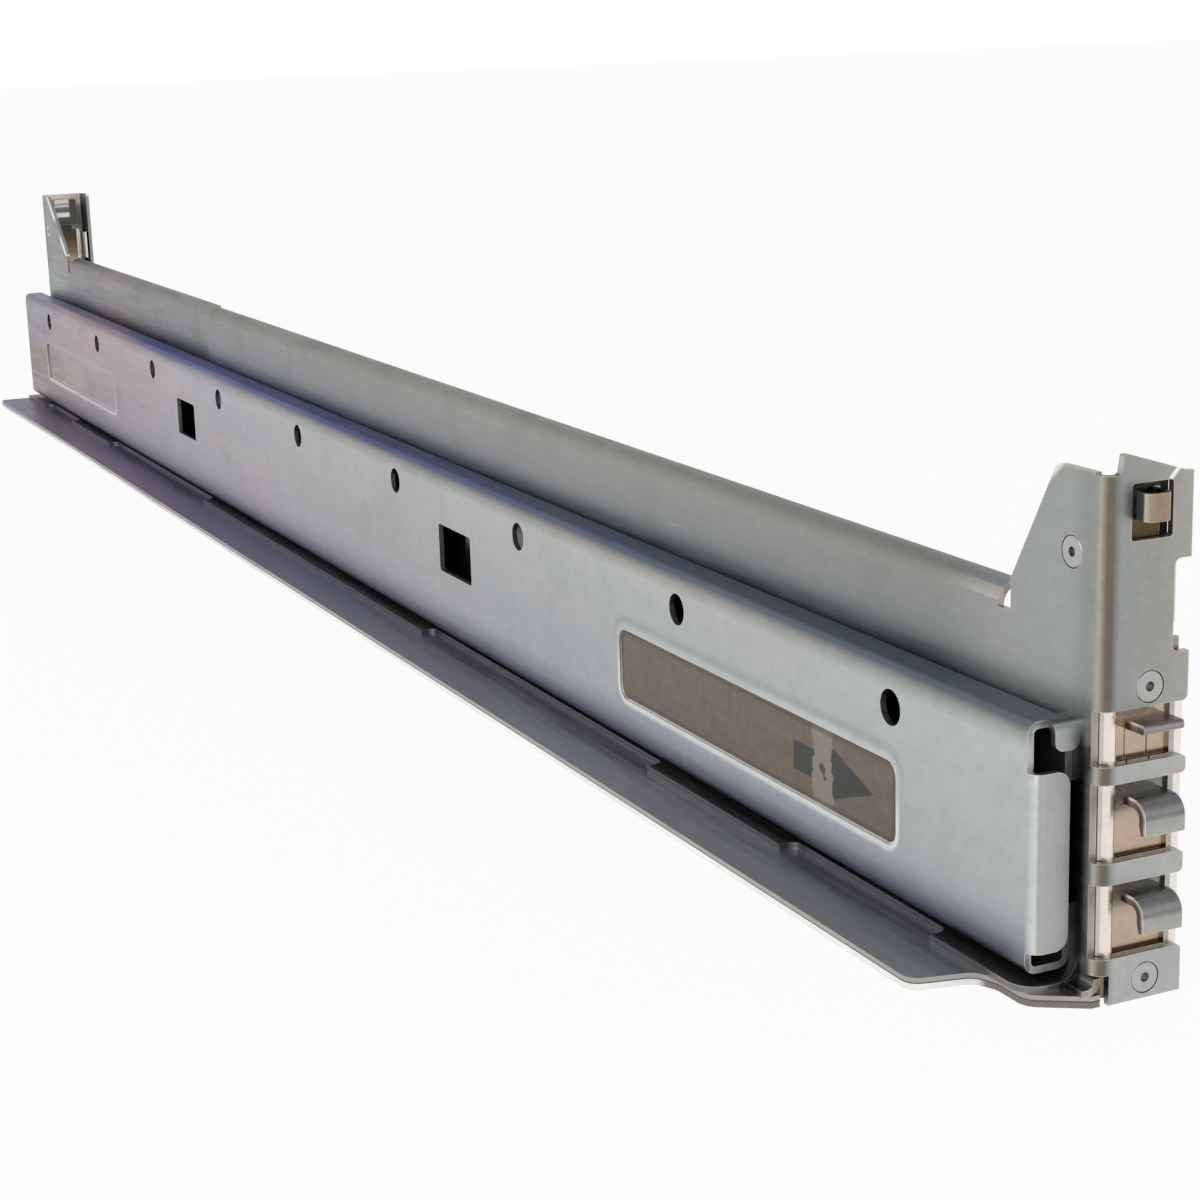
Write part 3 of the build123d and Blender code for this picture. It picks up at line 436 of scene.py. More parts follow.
def band_group():
    """Mask of the values between a low and a high mark, with soft sides."""
    group, given, result = make_group(
        "soft_band", (("Value", FLOAT, 0.0), ("Low", FLOAT, 0.0), ("High", FLOAT, 1.0),
                      ("Soft", FLOAT, 0.1)), (("Mask", FLOAT),))
    value, soft = given["Value"], given["Soft"]
    rise = minus(group, value, given["Low"])
    fall = minus(group, given["High"], value)
    depth = math_node(group, "DIVIDE", math_node(group, "MINIMUM", rise, fall), soft)
    group.links.new(span_node(group, depth, -1.0, 1.0), result["Mask"])
    return group


def field_group():
    """Distance to a rounded rectangle in X and Z, negative inside, in metres.

    The rectangle is shrunk by its corner radius, the distance to that is taken, and the
    radius comes off again.
    """
    group, given, result = make_group(
        "coined_field",
        (("Vector", VECTOR, None), ("Centre X", FLOAT, 0.0), ("Centre Z", FLOAT, 0.0),
         ("Half X", FLOAT, 0.05), ("Half Z", FLOAT, 0.01), ("Radius", FLOAT, 0.003)),
        (("Distance", FLOAT),))
    parts = split(group, given["Vector"])
    sides = []
    for axis in ("X", "Z"):
        off = minus(group, parts[axis], given[f"Centre {axis}"])
        inner = minus(group, given[f"Half {axis}"], given["Radius"])
        sides.append(minus(group, math_node(group, "ABSOLUTE", off), inner))
    beyond = [larger(group, side, 0.0) for side in sides]
    squares = [times(group, value, value) for value in beyond]
    outside = math_node(group, "SQRT", math_node(group, "ADD", *squares))
    inside = math_node(group, "MINIMUM", larger(group, *sides), 0.0)
    total = math_node(group, "ADD", outside, inside)
    group.links.new(minus(group, total, given["Radius"]), result["Distance"])
    return group


def edge_wear_group():
    """Mask of the sheet's corners, where a rounded normal leaves the surface's own."""
    group, given, result = make_group(
        "edge_wear_and_highlight", (("Radius", FLOAT, 0.3 * MM),), (("Mask", FLOAT),))
    rounded = group.nodes.new("ShaderNodeBevel")
    rounded.samples = 4
    group.links.new(given["Radius"], rounded.inputs["Radius"])
    own = group.nodes.new("ShaderNodeNewGeometry")
    dot = group.nodes.new("ShaderNodeVectorMath")
    dot.operation = "DOT_PRODUCT"
    group.links.new(rounded.outputs["Normal"], dot.inputs[0])
    group.links.new(own.outputs["Normal"], dot.inputs[1])
    group.links.new(span_node(group, dot.outputs["Value"], 0.985, 0.86), result["Mask"])
    return group


def group_node(tree, name, maker):
    """A use of a shader group, which is built once."""
    node = tree.nodes.new("ShaderNodeGroup")
    node.node_tree = bpy.data.node_groups.get(name) or maker()
    return node


def band(tree, value, low, high, soft=0.1):
    """Use of the soft band group."""
    node = group_node(tree, "soft_band", band_group)
    tree.links.new(value, node.inputs["Value"])
    preset(node, {"Low": low, "High": high, "Soft": soft})
    return node.outputs["Mask"]


def colour_run(tree, value, stops):
    """Colour over a value, from a few stops given in the value's own unit."""
    low, high = stops[0][0], stops[-1][0]
    share = tree.nodes.new("ShaderNodeMapRange")
    preset(share, {"From Min": low, "From Max": high})
    tree.links.new(value, share.inputs["Value"])
    node = tree.nodes.new("ShaderNodeValToRGB")
    ramp = node.color_ramp
    ramp.interpolation = "LINEAR"
    ramp.elements[0].position = 0.0
    ramp.elements[1].position = 1.0
    for place, _ in stops[1:-1]:
        ramp.elements.new((place - low) / (high - low))
    for element, (_, colour) in zip(ramp.elements, stops):
        element.color = (*colour, 1.0)
    tree.links.new(share.outputs["Result"], node.inputs["Fac"])
    return node.outputs["Color"]


def part_of(colour, share):
    """A share of a plain colour."""
    return tuple(share * part for part in colour)


def tinted(tree, colour, base):
    """Product of two colours."""
    return mix_colour(tree, 1.0, colour, base, "MULTIPLY")


def shaded(tree, colour, tone):
    """Colour times a plain grey."""
    grey = tree.nodes.new("ShaderNodeCombineColor")
    for socket in grey.inputs:
        tree.links.new(tone, socket)
    return tinted(tree, colour, grey.outputs["Color"])


def streak(tree, first, second, start, end, half):
    """Mask of a short streak: near a line between two points in two axes, past neither end."""
    run = (end[0] - start[0], end[1] - start[1])
    size = math.hypot(*run)
    off = [minus(tree, value, mark) for value, mark in zip((first, second), start)]
    along = [times(tree, value, part / size) for value, part in zip(off, run)]
    aside = [times(tree, off[0], run[1] / size), times(tree, off[1], -run[0] / size)]
    return times(tree, band(tree, math_node(tree, "ADD", *along), 0.0, size, 0.3),
                 band(tree, math_node(tree, "ADD", *aside), -half, half, 0.2))


def field_distance(tree, place, field):
    """Distance to one of the coined fields, in millimetres."""
    centre, half, radius = field
    node = group_node(tree, "coined_field", field_group)
    tree.links.new(place, node.inputs["Vector"])
    preset(node, {"Centre X": centre[0], "Centre Z": centre[1], "Half X": half[0],
                  "Half Z": half[1], "Radius": radius})
    return math_node(tree, "DIVIDE", node.outputs["Distance"], MM)


def channel_paint(tree, place, axes, finish):
    """Painted light and shade in bands over the channel's height, its run to rose, and painted
    highlight rims and painted shade round the coined fields.
    """
    forward, outboard, up, along = axes
    across = tinted(tree, colour_run(tree, up, CHANNEL_BANDS), finish.zinc)
    run = colour_run(tree, along, CHANNEL_RUN)
    on_web = span_node(tree, up, 45.6, 44.8)
    toned = mix_colour(tree, on_web, colour_run(tree, along, TOP_FLANGE_RUN),
                       tinted(tree, across, run))
    # Tab at the channel's front end, painted lighter, and a painted highlight as the bright rim
    # above it
    tab = times(tree, span_node(tree, forward, -7.0, -5.4), span_node(tree, up, 43.0, 41.0))
    toned = mix_colour(tree, tab, toned, tinted(tree, run, part_of(finish.zinc, 1.16)))
    mouth_highlight = times(tree, span_node(tree, forward, -6.1, -5.5), span_node(tree, up, 35.5, 37.5))
    toned = mix_colour(tree, times(tree, mouth_highlight, 0.7), toned, (0.86, 0.89, 0.91))
    # Painted shade inside the channel, outboard of the web's face
    channel_inside_shade = span_node(tree, outboard, -7.6, -7.2)
    toned = mix_colour(tree, times(tree, channel_inside_shade, on_web), toned, part_of(finish.zinc, 0.72))
    # A painted highlight as a pale rim round each coined field, and a faint painted shade outside
    # it
    for field, rim, soft in ((LABEL_FIELD, 0.9, 0.5), (REAR_FIELD, 0.75, 1.1)):
        away = field_distance(tree, place, field)
        glow = times(tree, band(tree, away, -0.25, 1.1, soft),
                     span_node(tree, up, 26.0, 18.0, 0.25, 1.0))
        toned = mix_colour(tree, times(tree, glow, rim), toned, (0.86, 0.87, 0.86))
        shade = times(tree, band(tree, away, 1.6, 3.0, 0.9), span_node(tree, up, 24.0, 30.0))
        toned = mix_colour(tree, times(tree, shade, 0.28), toned, (0.20, 0.22, 0.26))
    return toned


def sheet_paint(tree, place, axes, finish):
    """Side plate's bands of painted shade and highlight, the painted highlight and dark reflection
    round the flange's bend, and the bare walls of its cuts.
    """
    forward, outboard, up, along = axes
    skin = span_node(tree, outboard, 0.5, 0.2)
    inboard = larger(tree, skin, span_node(tree, up, 57.0, 60.0))
    plain = part_of(finish.zinc, 0.58)
    banded = tinted(tree, colour_run(tree, up, PLATE_BANDS), finish.zinc)
    run = colour_run(tree, along, PLATE_RUN)
    plate = tinted(tree, mix_colour(tree, inboard, plain, banded), run)
    turn = math_node(tree, "ADD", math_node(tree, "ADD", forward, outboard), 2.5)
    bracket = tinted(tree, colour_run(tree, turn, BEND_RUN), finish.zinc)
    low = times(tree, span_node(tree, up, 46.5, 44.5), span_node(tree, outboard, 1.6, 4.0))
    bracket = mix_colour(tree, times(tree, low, 0.8), bracket, part_of(finish.zinc, 0.78))
    # Painted shade, near black, on the side plate between the channel's end and the flange
    gap_shade = times(tree, span_node(tree, up, 45.5, 42.5), span_node(tree, outboard, 0.3, 0.2),
                band(tree, turn, -15.0, -1.3, 0.7), span_node(tree, along, -30.0, -26.0))
    bracket = mix_colour(tree, times(tree, gap_shade, 0.9), bracket, (0.05, 0.05, 0.05))
    far_end = span_node(tree, along, -640.0, -690.0)
    bracket = mix_colour(tree, far_end, bracket, tinted(tree, bracket, (0.75, 0.76, 0.75)))
    near = larger(tree, span_node(tree, forward, -48.0, -22.0),
                  times(tree, span_node(tree, forward, -41.0, -38.0),
                        span_node(tree, up, 64.0, 66.0)))
    toned = mix_colour(tree, near, plate, bracket)
    # Painted highlight along the bracket's slope, but for its middle
    slope = minus(tree, times(tree, forward, 0.633), times(tree, up, 0.775))
    glint = times(tree, band(tree, slope, -74.8, -72.3, 0.5), span_node(tree, up, 63.6, 64.4),
                  larger(tree, span_node(tree, up, 76.0, 78.0), span_node(tree, up, 72.0, 70.0)))
    toned = mix_colour(tree, glint, toned, (0.93, 0.88, 0.80))
    # Painted highlight as a bright streak beside the flange's top corner
    corner_streak_highlight = streak(tree, outboard, up, (13.9, 85.0), (11.9, 82.9), 0.35)
    toned = mix_colour(tree, times(tree, corner_streak_highlight, span_node(tree, forward, -0.3, -0.1)), toned,
                       (0.95, 0.93, 0.88))
    teeth = times(tree, span_node(tree, outboard, -2.8, -3.2), span_node(tree, up, 4.0, 3.5))
    toned = mix_colour(tree, teeth, toned, (0.21, 0.21, 0.21))
    # Painted light and shade on the back of the flange, then the sheared walls of flange and side
    # plate
    inner = times(tree, band(tree, forward, -1.35, -1.1, 0.05), span_node(tree, outboard, 2.0, 3.0))
    toned = mix_colour(tree, inner, toned, colour_run(tree, up, FLANGE_BACK_RUN))
    wall = times(tree, band(tree, forward, -1.12, -0.08, 0.03), span_node(tree, outboard, 2.6, 3.0))
    side_wall = times(tree, band(tree, outboard, 0.08, 1.12, 0.03), near,
                      span_node(tree, forward, -2.2, -2.8))
    cuts = larger(tree, wall, side_wall)
    return mix_colour(tree, times(tree, cuts, 0.8), toned, finish.cut_edge)


def ledge_paint(tree, place, axes, finish):
    """Dark plating that drifts to violet at the rear, with a sheared edge in three lines, its
    lowest painted near white at the front tongue to merge with the lit floor.
    """
    forward, _, up, _ = axes
    top = LEDGE_TOP / MM
    toned = colour_run(tree, forward, LEDGE_RUN)
    mark = tree.nodes.new("ShaderNodeVectorMath")
    mark.operation = "LENGTH"
    centre, half = LEDGE_MARK
    centred = scaled_vector(tree, place, (1 / (half[0] * MM), 1 / (half[1] * MM), 0.0))
    shifted = tree.nodes.new("ShaderNodeVectorMath")
    shifted.inputs[1].default_value = (-centre[0] / half[0], -centre[1] / half[1], 0.0)
    tree.links.new(centred, shifted.inputs[0])
    tree.links.new(shifted.outputs["Vector"], mark.inputs[0])
    oval = times(tree, band(tree, mark.outputs["Value"], 0.72, 1.0, 0.16),
                 span_node(tree, up, top - 0.05, top - 0.01))
    toned = mix_colour(tree, times(tree, oval, 0.35), toned, (0.36, 0.34, 0.36))
    # Edge lines; the lowest band is painted dim, and near white on the front tongue to melt into
    # the lit floor
    line = band(tree, up, top - 0.75, top - 0.04, 0.03)
    dark = band(tree, up, top - 1.05, top - 0.80, 0.06)
    bare = band(tree, up, 0.03, top - 1.0, 0.02)
    front_floor_white = times(tree, bare, span_node(tree, forward, -15.0, -17.0))
    for mask, colour in ((line, (0.46, 0.44, 0.37)), (dark, (0.07, 0.06, 0.05)),
                         (bare, (0.24, 0.21, 0.17)), (front_floor_white, (0.97, 0.97, 0.96))):
        toned = mix_colour(tree, mask, toned, colour)
    return toned


def hook_paint(tree, place, axes, finish):
    """Bright strip of painted highlight, tan pocket floors with painted shade at their lower
    borders, and the two hooks in painted light and shade.
    """
    forward, outboard, up, _ = axes
    behind = span_node(tree, forward, -1.05, -1.18)
    toned = mix_colour(tree, times(tree, behind, span_node(tree, outboard, 2.0, 1.9)),
                       finish.nickel, (0.57, 0.55, 0.51))
    # Painted highlight along the hook plate's bend as a bright strip, darker at its foot
    strip = times(tree, behind, band(tree, outboard, 1.95, 3.75, 0.06))
    toned = mix_colour(tree, strip, toned, mix_colour(
        tree, span_node(tree, up, 7.0, 6.4), finish.strip, (0.22, 0.17, 0.13)))
    # Tan pocket floors, with painted shade along each window's foot and under the hook above
    step = math_node(tree, "MODULO", minus(tree, up, POCKET_FOOT), POCKET_STEP)
    floor = times(tree, span_node(tree, forward, -1.3, -1.45),
                  band(tree, outboard, 3.85, 13.95, 0.05))
    toned = mix_colour(tree, floor, toned, colour_run(tree, step, POCKET_RUN))
    # Painted shade along the inboard side of each pocket
    border = times(tree, behind, band(tree, outboard, 3.7, 4.05, 0.08))
    toned = mix_colour(tree, times(tree, border, 0.8), toned, (0.20, 0.08, 0.05))
    rim = times(tree, behind, span_node(tree, outboard, 14.7, 15.0))
    toned = mix_colour(tree, rim, toned, (0.86, 0.80, 0.74))
    # Depth below a hook's skin, round its bend, and below the lip's
    drop = math_node(tree, "MODULO", minus(tree, HOOK_TOP, up), HOOK_STEP)
    above = span_node(tree, up, 41.0, 42.0)
    lip_depth = minus(tree, LIP_TOP, up)
    lip_drop = times(tree, lip_depth, 2.3)
    ahead = span_node(tree, forward, -1.0, -0.8)
    past_bend = larger(tree, minus(tree, forward, 1.7), 0.0)
    over_bend = larger(tree, minus(tree, HOOK_BEND, drop), 0.0)
    squares = (times(tree, past_bend, past_bend), times(tree, over_bend, over_bend))
    reach = math_node(tree, "SQRT", math_node(tree, "ADD", *squares))
    depth = minus(tree, HOOK_BEND, reach)
    # Painted shade and light over the hooks' skins, and a painted highlight along their sides' top
    # edge with painted shade below
    skin = mix_colour(tree, above, colour_run(tree, drop, HOOK_RUN),
                      colour_run(tree, lip_drop, HOOK_RUN))
    side = mix_colour(tree, above, colour_run(tree, depth, HOOK_SIDE_RUN),
                      colour_run(tree, lip_depth, HOOK_SIDE_RUN))
    toned = mix_colour(tree, ahead, toned, skin)
    return mix_colour(tree, times(tree, ahead, span_node(tree, outboard, 5.32, 5.24)), toned, side)


def tongue_paint(tree, place, axes, finish):
    """Grey-blue finger tab, painted brown shade behind the window, painted shade and a painted
    highlight on its back, and a nose painted with a highlight, shade and tan.
    """
    forward, outboard, up, _ = axes
    back = span_node(tree, forward, -2.2, -2.32)
    toned = mix_colour(tree, back, colour_run(tree, up, TONGUE_RUN),
                       colour_run(tree, up, TONGUE_BACK_RUN))
    wing = times(tree, span_node(tree, outboard, 14.4, 15.0), span_node(tree, up, 73.0, 71.6))
    toned = mix_colour(tree, wing, toned, (0.88, 0.82, 0.72))
    shine = times(tree, back, span_node(tree, outboard, 12.7, 13.1),
                  span_node(tree, up, 59.0, 60.0))
    toned = mix_colour(tree, shine, toned, (0.70, 0.67, 0.62))
    ahead = times(tree, span_node(tree, forward, -1.5, -1.3), span_node(tree, up, 77.0, 77.4))
    return mix_colour(tree, ahead, toned, colour_run(tree, forward, NOSE_RUN))


def foot_paint(tree, place, axes, finish):
    """Spring foot: tan towards its bend, grey behind."""
    return colour_run(tree, axes[2], FOOT_RUN)


def backing_paint(tree, place, axes, finish):
    """Painted shade, dark, to the front; behind, tan above a painted blue-white highlight line and
    a painted pale highlight stripe over the painted shade.
    """
    forward, outboard, up, _ = axes
    dark = (0.075, 0.072, 0.062)
    behind = times(tree, span_node(tree, forward, -2.6, -2.8),
                   span_node(tree, outboard, 12.4, 11.6))
    return mix_colour(tree, behind, dark, colour_run(tree, up, BACKING_RUN))


def plain_paint(colour):
    """Paint of one colour, for small fittings."""
    return lambda tree, place, axes, finish: colour


def new_material(name):
    """Material with nodes; returns it, its tree and its main shader."""
    material = bpy.data.materials.new(name)
    material.use_nodes = True
    return material, material.node_tree, material.node_tree.nodes["Principled BSDF"]


def plated_material(name, finish, paint, rough, **options):
    """Plated steel: its paint under interference colours, grain, marks and edge wear, the edge wear
    partly a painted highlight.
    """
    material, tree, shader = new_material(name)
    place = tree.nodes.new("ShaderNodeTexCoord").outputs["Object"]
    local = group_node(tree, "flange_place", flange_place_group)
    if options.get("rear"):
        preset(local, {"Face X": REAR_FACE_X, "Skin Y": REAR_SKIN_Y, "Turn": -1.0})
    grain = group_node(tree, "rolling_grain", rolling_grain_group)
    grain.inputs["Fineness"].default_value = finish.grain
    marks = group_node(tree, "handling_marks", handling_group)
    marks.inputs["Density"].default_value = options.get("marks", 0.3)
    for node in (local, grain, marks):
        tree.links.new(place, node.inputs["Vector"])
    colour = paint(tree, place, tuple(local.outputs), finish)
    cast = group_node(tree, "interference_cast", interference_group)
    tree.links.new(place, cast.inputs["Vector"])
    if hasattr(colour, "is_linked"):
        tree.links.new(colour, cast.inputs["Base"])
    else:
        cast.inputs["Base"].default_value = (*colour, 1.0)
    preset(cast, {"Blue": (*options.get("blue", finish.blue), 1.0),
                  "Rose": (*options.get("rose", finish.rose), 1.0),
                  "Share": options.get("share", 0.0)})
    streak_tone = span_node(tree, grain.outputs["Streaks"], 0.3, 0.7, 0.95, 1.04)
    mottle_tone = span_node(tree, grain.outputs["Mottle"], 0.3, 0.7, 0.96, 1.03)
    tone = times(tree, streak_tone, mottle_tone)
    toned = shaded(tree, cast.outputs["Color"], tone)
    scratched = mix_colour(tree, marks.outputs["Scratches"], toned, finish.cut_edge)
    # Edge wear: bare metal along the edges, partly real wear and partly a painted highlight
    wear = group_node(tree, "edge_wear_and_highlight", edge_wear_group)
    wear.inputs["Radius"].default_value = options.get("edge", 0.3) * MM
    worn = times(tree, wear.outputs["Mask"], finish.wear)
    tree.links.new(mix_colour(tree, worn, scratched, finish.cut_edge), shader.inputs["Base Color"])
    rough_span = span_node(tree, grain.outputs["Streaks"], 0.3, 0.7, rough - 0.05, rough + 0.05)
    smudged = times(tree, marks.outputs["Smudges"], 0.06)
    tree.links.new(math_node(tree, "ADD", rough_span, smudged, True), shader.inputs["Roughness"])
    bump = tree.nodes.new("ShaderNodeBump")
    preset(bump, {"Strength": options.get("bump", 0.3), "Distance": 0.02 * MM})
    height = math_node(tree, "ADD", grain.outputs["Streaks"], grain.outputs["Mottle"])
    tree.links.new(height, bump.inputs["Height"])
    tree.links.new(bump.outputs["Normal"], shader.inputs["Normal"])
    shader.inputs["Metallic"].default_value = 1.0
    return material


def dress(name, material):
    """Gives a CAD node its finish."""
    obj = node_object(name)
    obj.data.materials.clear()
    obj.data.materials.append(material)


def ring_object(name, points, body):
    """Mesh over rings of points, shape (rings, points, 3), as quads."""
    rows, columns = points.shape[:2]
    index = np.arange(rows * columns).reshape(rows, columns)
    index = np.concatenate((index, index[:, :1]), axis=1)
    quads = np.stack((index[:-1, :-1], index[1:, :-1], index[1:, 1:], index[:-1, 1:]), axis=-1)
    mesh = bpy.data.meshes.new(name)
    mesh.from_pydata(points.reshape(-1, 3).tolist(), [], quads.reshape(-1, 4).tolist())
    mesh.update()
    obj = bpy.data.objects.new(name, mesh)
    bpy.context.scene.collection.objects.link(obj)
    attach(obj, body)
    return obj


def rounded_rings(centre, half, radius, shares, steps=96):
    """Rings on a rounded rectangle: the outline scaled by each share about the centre.

    The outline is the rectangle shrunk by its corner radius plus a circle of that radius.
    """
    turn = np.linspace(0.0, 2 * math.pi, steps, endpoint=False) + math.pi / steps
    circle = np.stack((np.cos(turn), np.sin(turn)), axis=-1)
    rim = np.sign(circle) * (np.array(half) - radius) + radius * circle
    return np.array(centre) + np.array(shares)[:, None, None] * rim


def label_points(field, y, rise):
    """Thin pad in a coined field, level as far as its last ring, where it meets the ground."""
    centre, half, radius = field
    inset = 0.35 * MM
    flat = rounded_rings(centre, (half[0] - inset, half[1] - inset), radius - inset,
                         (0.0, 0.35, 0.7, 0.985, 1.0))
    points = np.empty((*flat.shape[:2], 3))
    points[..., 0] = flat[..., 0]
    points[..., 1] = (y - rise * np.array((1.0, 1.0, 1.0, 1.0, 0.0)))[:, None]
    points[..., 2] = flat[..., 1]
    return points


def backing_points(face_x, skin_y, turn):
    """Thin closed plate behind a latch window: rings out over its back and in over its front.

    The rings run the other way round at the front end, so that all faces point outwards.
    """
    centre = (skin_y + BACKING_CENTRE[0], BACKING_CENTRE[1])
    flat = rounded_rings(centre, BACKING_HALF, 0.8 * MM, (0.0, 1.0, 1.0, 0.0), 48)
    depth = np.repeat(BACKING_DEPTHS, 2)
    points = np.empty((*flat.shape[:2], 3))
    points[..., 0] = (face_x + turn * depth)[:, None]
    points[..., 1:] = flat
    return points[:, ::-1] if turn > 0 else points


def arrow_mask(tree, place, label):
    """Mask of a plain arrow pointing forward, from straight lines in X and Z."""
    centre_z = LABEL_FIELD[0][1] - 0.3 * MM
    parts = split(tree, place)
    x = parts["X"]
    off = math_node(tree, "ABSOLUTE", minus(tree, parts["Z"], centre_z))
    back = label.tip_x - label.head
    blur = 0.12 * MM
    slope = label.half / label.head
    reach = times(tree, minus(tree, label.tip_x, x), slope)
    inside_head = span_node(tree, minus(tree, reach, off), -blur, blur)
    past_back = span_node(tree, x, back - blur, back + blur)
    head = times(tree, inside_head, past_back)
    shaft_half = label.half * 0.44
    inside_shaft = span_node(tree, off, shaft_half + blur, shaft_half - blur)
    tail = span_node(tree, x, back - label.shaft - blur, back - label.shaft + blur)
    before = span_node(tree, x, back + 2 * blur, back)
    shaft = times(tree, inside_shaft, tail, before)
    return larger(tree, head, shaft), x, back


def label_material(label, finish):
    """Satin brown-grey field with a dark arrow, rubbed through near the arrow's neck."""
    material, tree, shader = new_material("label_print")
    place = tree.nodes.new("ShaderNodeTexCoord").outputs["Object"]
    grain = group_node(tree, "rolling_grain", rolling_grain_group)
    grain.inputs["Fineness"].default_value = 1400.0
    tree.links.new(place, grain.inputs["Vector"])
    arrow, x, back = arrow_mask(tree, place, label)
    near = math_node(tree, "ABSOLUTE", minus(tree, x, back + 1.2 * MM))
    ragged = noise_node(tree, place, 150.0, 5.0, 0.65)
    spread = span_node(tree, near, 8.0 * MM, 1.0 * MM)
    worn = span_node(tree, times(tree, ragged, spread), 0.34, 0.38)
    shown = times(tree, arrow, minus(tree, 1.0, worn))
    tone = span_node(tree, grain.outputs["Mottle"], 0.3, 0.7, 0.90, 1.10)
    ground = shaded(tree, label.field, tone)
    bare = mix_colour(tree, times(tree, worn, 0.22), ground, finish.cut_edge)
    printed = mix_colour(tree, shown, bare, label.print)
    # Painted shade as a dark rim just inside the field's step
    inner = band(tree, field_distance(tree, place, LABEL_FIELD), -1.3, -0.2, 0.25)
    shade_rimmed = mix_colour(tree, times(tree, inner, 0.55), printed, (0.10, 0.065, 0.045))
    tree.links.new(shade_rimmed, shader.inputs["Base Color"])
    rough = span_node(tree, grain.outputs["Streaks"], 0.3, 0.7, 0.42, 0.52)
    tree.links.new(rough, shader.inputs["Roughness"])
    shader.inputs["Metallic"].default_value = 0.35
    return material


class RAIL_OT_sheets(bpy.types.Operator):
    """Finish the side plates, the channel and the ledge"""

    bl_idname = "rail.sheets"
    bl_label = "Finish the sheets"

    def execute(self, context):
        finish = context.scene.rail_finish
        for name, rear in SHEET_NODES.items():
            dress(name, plated_material(f"zinc_{name}", finish, sheet_paint, 0.38, rear=rear,
                                        share=finish.cast * 0.25))
        dress("chassis_channel", plated_material("zinc_channel", finish, channel_paint, 0.38,
                                                 edge=0.4, share=finish.cast))
        dress("support_ledge", plated_material("zinc_ledge", finish, ledge_paint, 0.42, edge=0.1,
                                               share=0.8, blue=(0.16, 0.17, 0.30),
                                               rose=(0.30, 0.19, 0.27)))
        return {"FINISHED"}


class RAIL_OT_fittings(bpy.types.Operator):
    """Finish the hooks, latches, rivets and slide fasteners"""

    bl_idname = "rail.fittings"
    bl_label = "Finish the fittings"

    def execute(self, context):
        finish = context.scene.rail_finish
        for nodes, paint, rough in ((HOOK_NODES, hook_paint, 0.26),
                                    (TONGUE_NODES, tongue_paint, 0.24),
                                    (FOOT_NODES, foot_paint, 0.28)):
            for name, rear in nodes.items():
                dress(name, plated_material(f"nickel_{name}", finish, paint, rough, rear=rear,
                                            bump=0.03, edge=0.2, marks=0.08))
        rivet = plated_material("rivet_steel", finish, plain_paint(part_of(finish.zinc, 0.74)),
                                0.32, bump=0.1, edge=0.12)
        fastener = plated_material("plated_fasteners", finish,
                                   plain_paint(part_of(finish.zinc, 0.78)), 0.30, share=0.3)
        for name in RIVET_NODES:
            dress(name, rivet)
        for name in FASTENER_NODES:
            dress(name, fastener)
        return {"FINISHED"}


class RAIL_OT_backings(bpy.types.Operator):
    """Close the latch windows behind the noses, as the wider spring strip does"""

    bl_idname = "rail.backings"
    bl_label = "Add the latch backings"

    def execute(self, context):
        finish = context.scene.rail_finish
        dark = plated_material("latch_backing", finish, backing_paint, 0.34, bump=0.1, edge=0.15)
        for name, body, face_x, skin_y, turn in (
                ("front_latch_backing", "front_latch", 0.0, 0.0, 1.0),
                ("rear_latch_backing", "rear_latch", REAR_FACE_X, REAR_SKIN_Y, -1.0)):
            points = backing_points(face_x, skin_y, turn)
            ring_object(name, points, body).data.materials.append(dark)
        return {"FINISHED"}


class RAIL_OT_label(bpy.types.Operator):
    """Lay the direction label into its field on the channel"""

    bl_idname = "rail.label"
    bl_label = "Add the label"

    def execute(self, context):
        scene = context.scene
        points = label_points(LABEL_FIELD, WEB_Y + LABEL_DEPTH, 0.08 * MM)
        obj = ring_object("label_plate", points, "front_section")
        obj.data.materials.append(label_material(scene.rail_label, scene.rail_finish))
        return {"FINISHED"}


def floor_material(colour):
    """Pale floor that shows white to the camera and in reflections but keeps shadows."""
    material, tree, shader = new_material("studio_floor")
    preset(shader, {"Base Color": (*colour, 1.0), "Roughness": 0.9})
    glow = tree.nodes.new("ShaderNodeEmission")
    path = tree.nodes.new("ShaderNodeLightPath")
    seen = larger(tree, path.outputs["Is Camera Ray"], path.outputs["Is Glossy Ray"])
    seen = larger(tree, seen, path.outputs["Is Transmission Ray"])
    share = times(tree, seen, 0.93)
    mixer = tree.nodes.new("ShaderNodeMixShader")
    tree.links.new(share, mixer.inputs[0])
    tree.links.new(shader.outputs[0], mixer.inputs[1])
    tree.links.new(glow.outputs[0], mixer.inputs[2])
    tree.links.new(mixer.outputs[0], tree.nodes["Material Output"].inputs["Surface"])
    return material


def studio_world(strength):
    """White to the camera; a pale room, dimmer overhead, to everything else."""
    world = bpy.data.worlds.new("studio")
    bpy.context.scene.world = world
    world.use_nodes = True
    tree = world.node_tree
    tree.nodes.clear()
    place = tree.nodes.new("ShaderNodeTexCoord").outputs["Generated"]
    height = span_node(tree, split(tree, place)["Z"], 0.15, 0.95)
    room = mix_colour(tree, height, (0.96, 0.965, 0.97), (0.42, 0.44, 0.50))
    lit = tree.nodes.new("ShaderNodeBackground")
    tree.links.new(room, lit.inputs["Color"])
    lit.inputs["Strength"].default_value = strength
    white = tree.nodes.new("ShaderNodeBackground")
    white.inputs["Color"].default_value = (1.0, 1.0, 1.0, 1.0)
    path = tree.nodes.new("ShaderNodeLightPath")
    mixer = tree.nodes.new("ShaderNodeMixShader")
    tree.links.new(path.outputs["Is Camera Ray"], mixer.inputs[0])
    tree.links.new(lit.outputs[0], mixer.inputs[1])
    tree.links.new(white.outputs[0], mixer.inputs[2])
    out = tree.nodes.new("ShaderNodeOutputWorld")
    tree.links.new(mixer.outputs[0], out.inputs["Surface"])


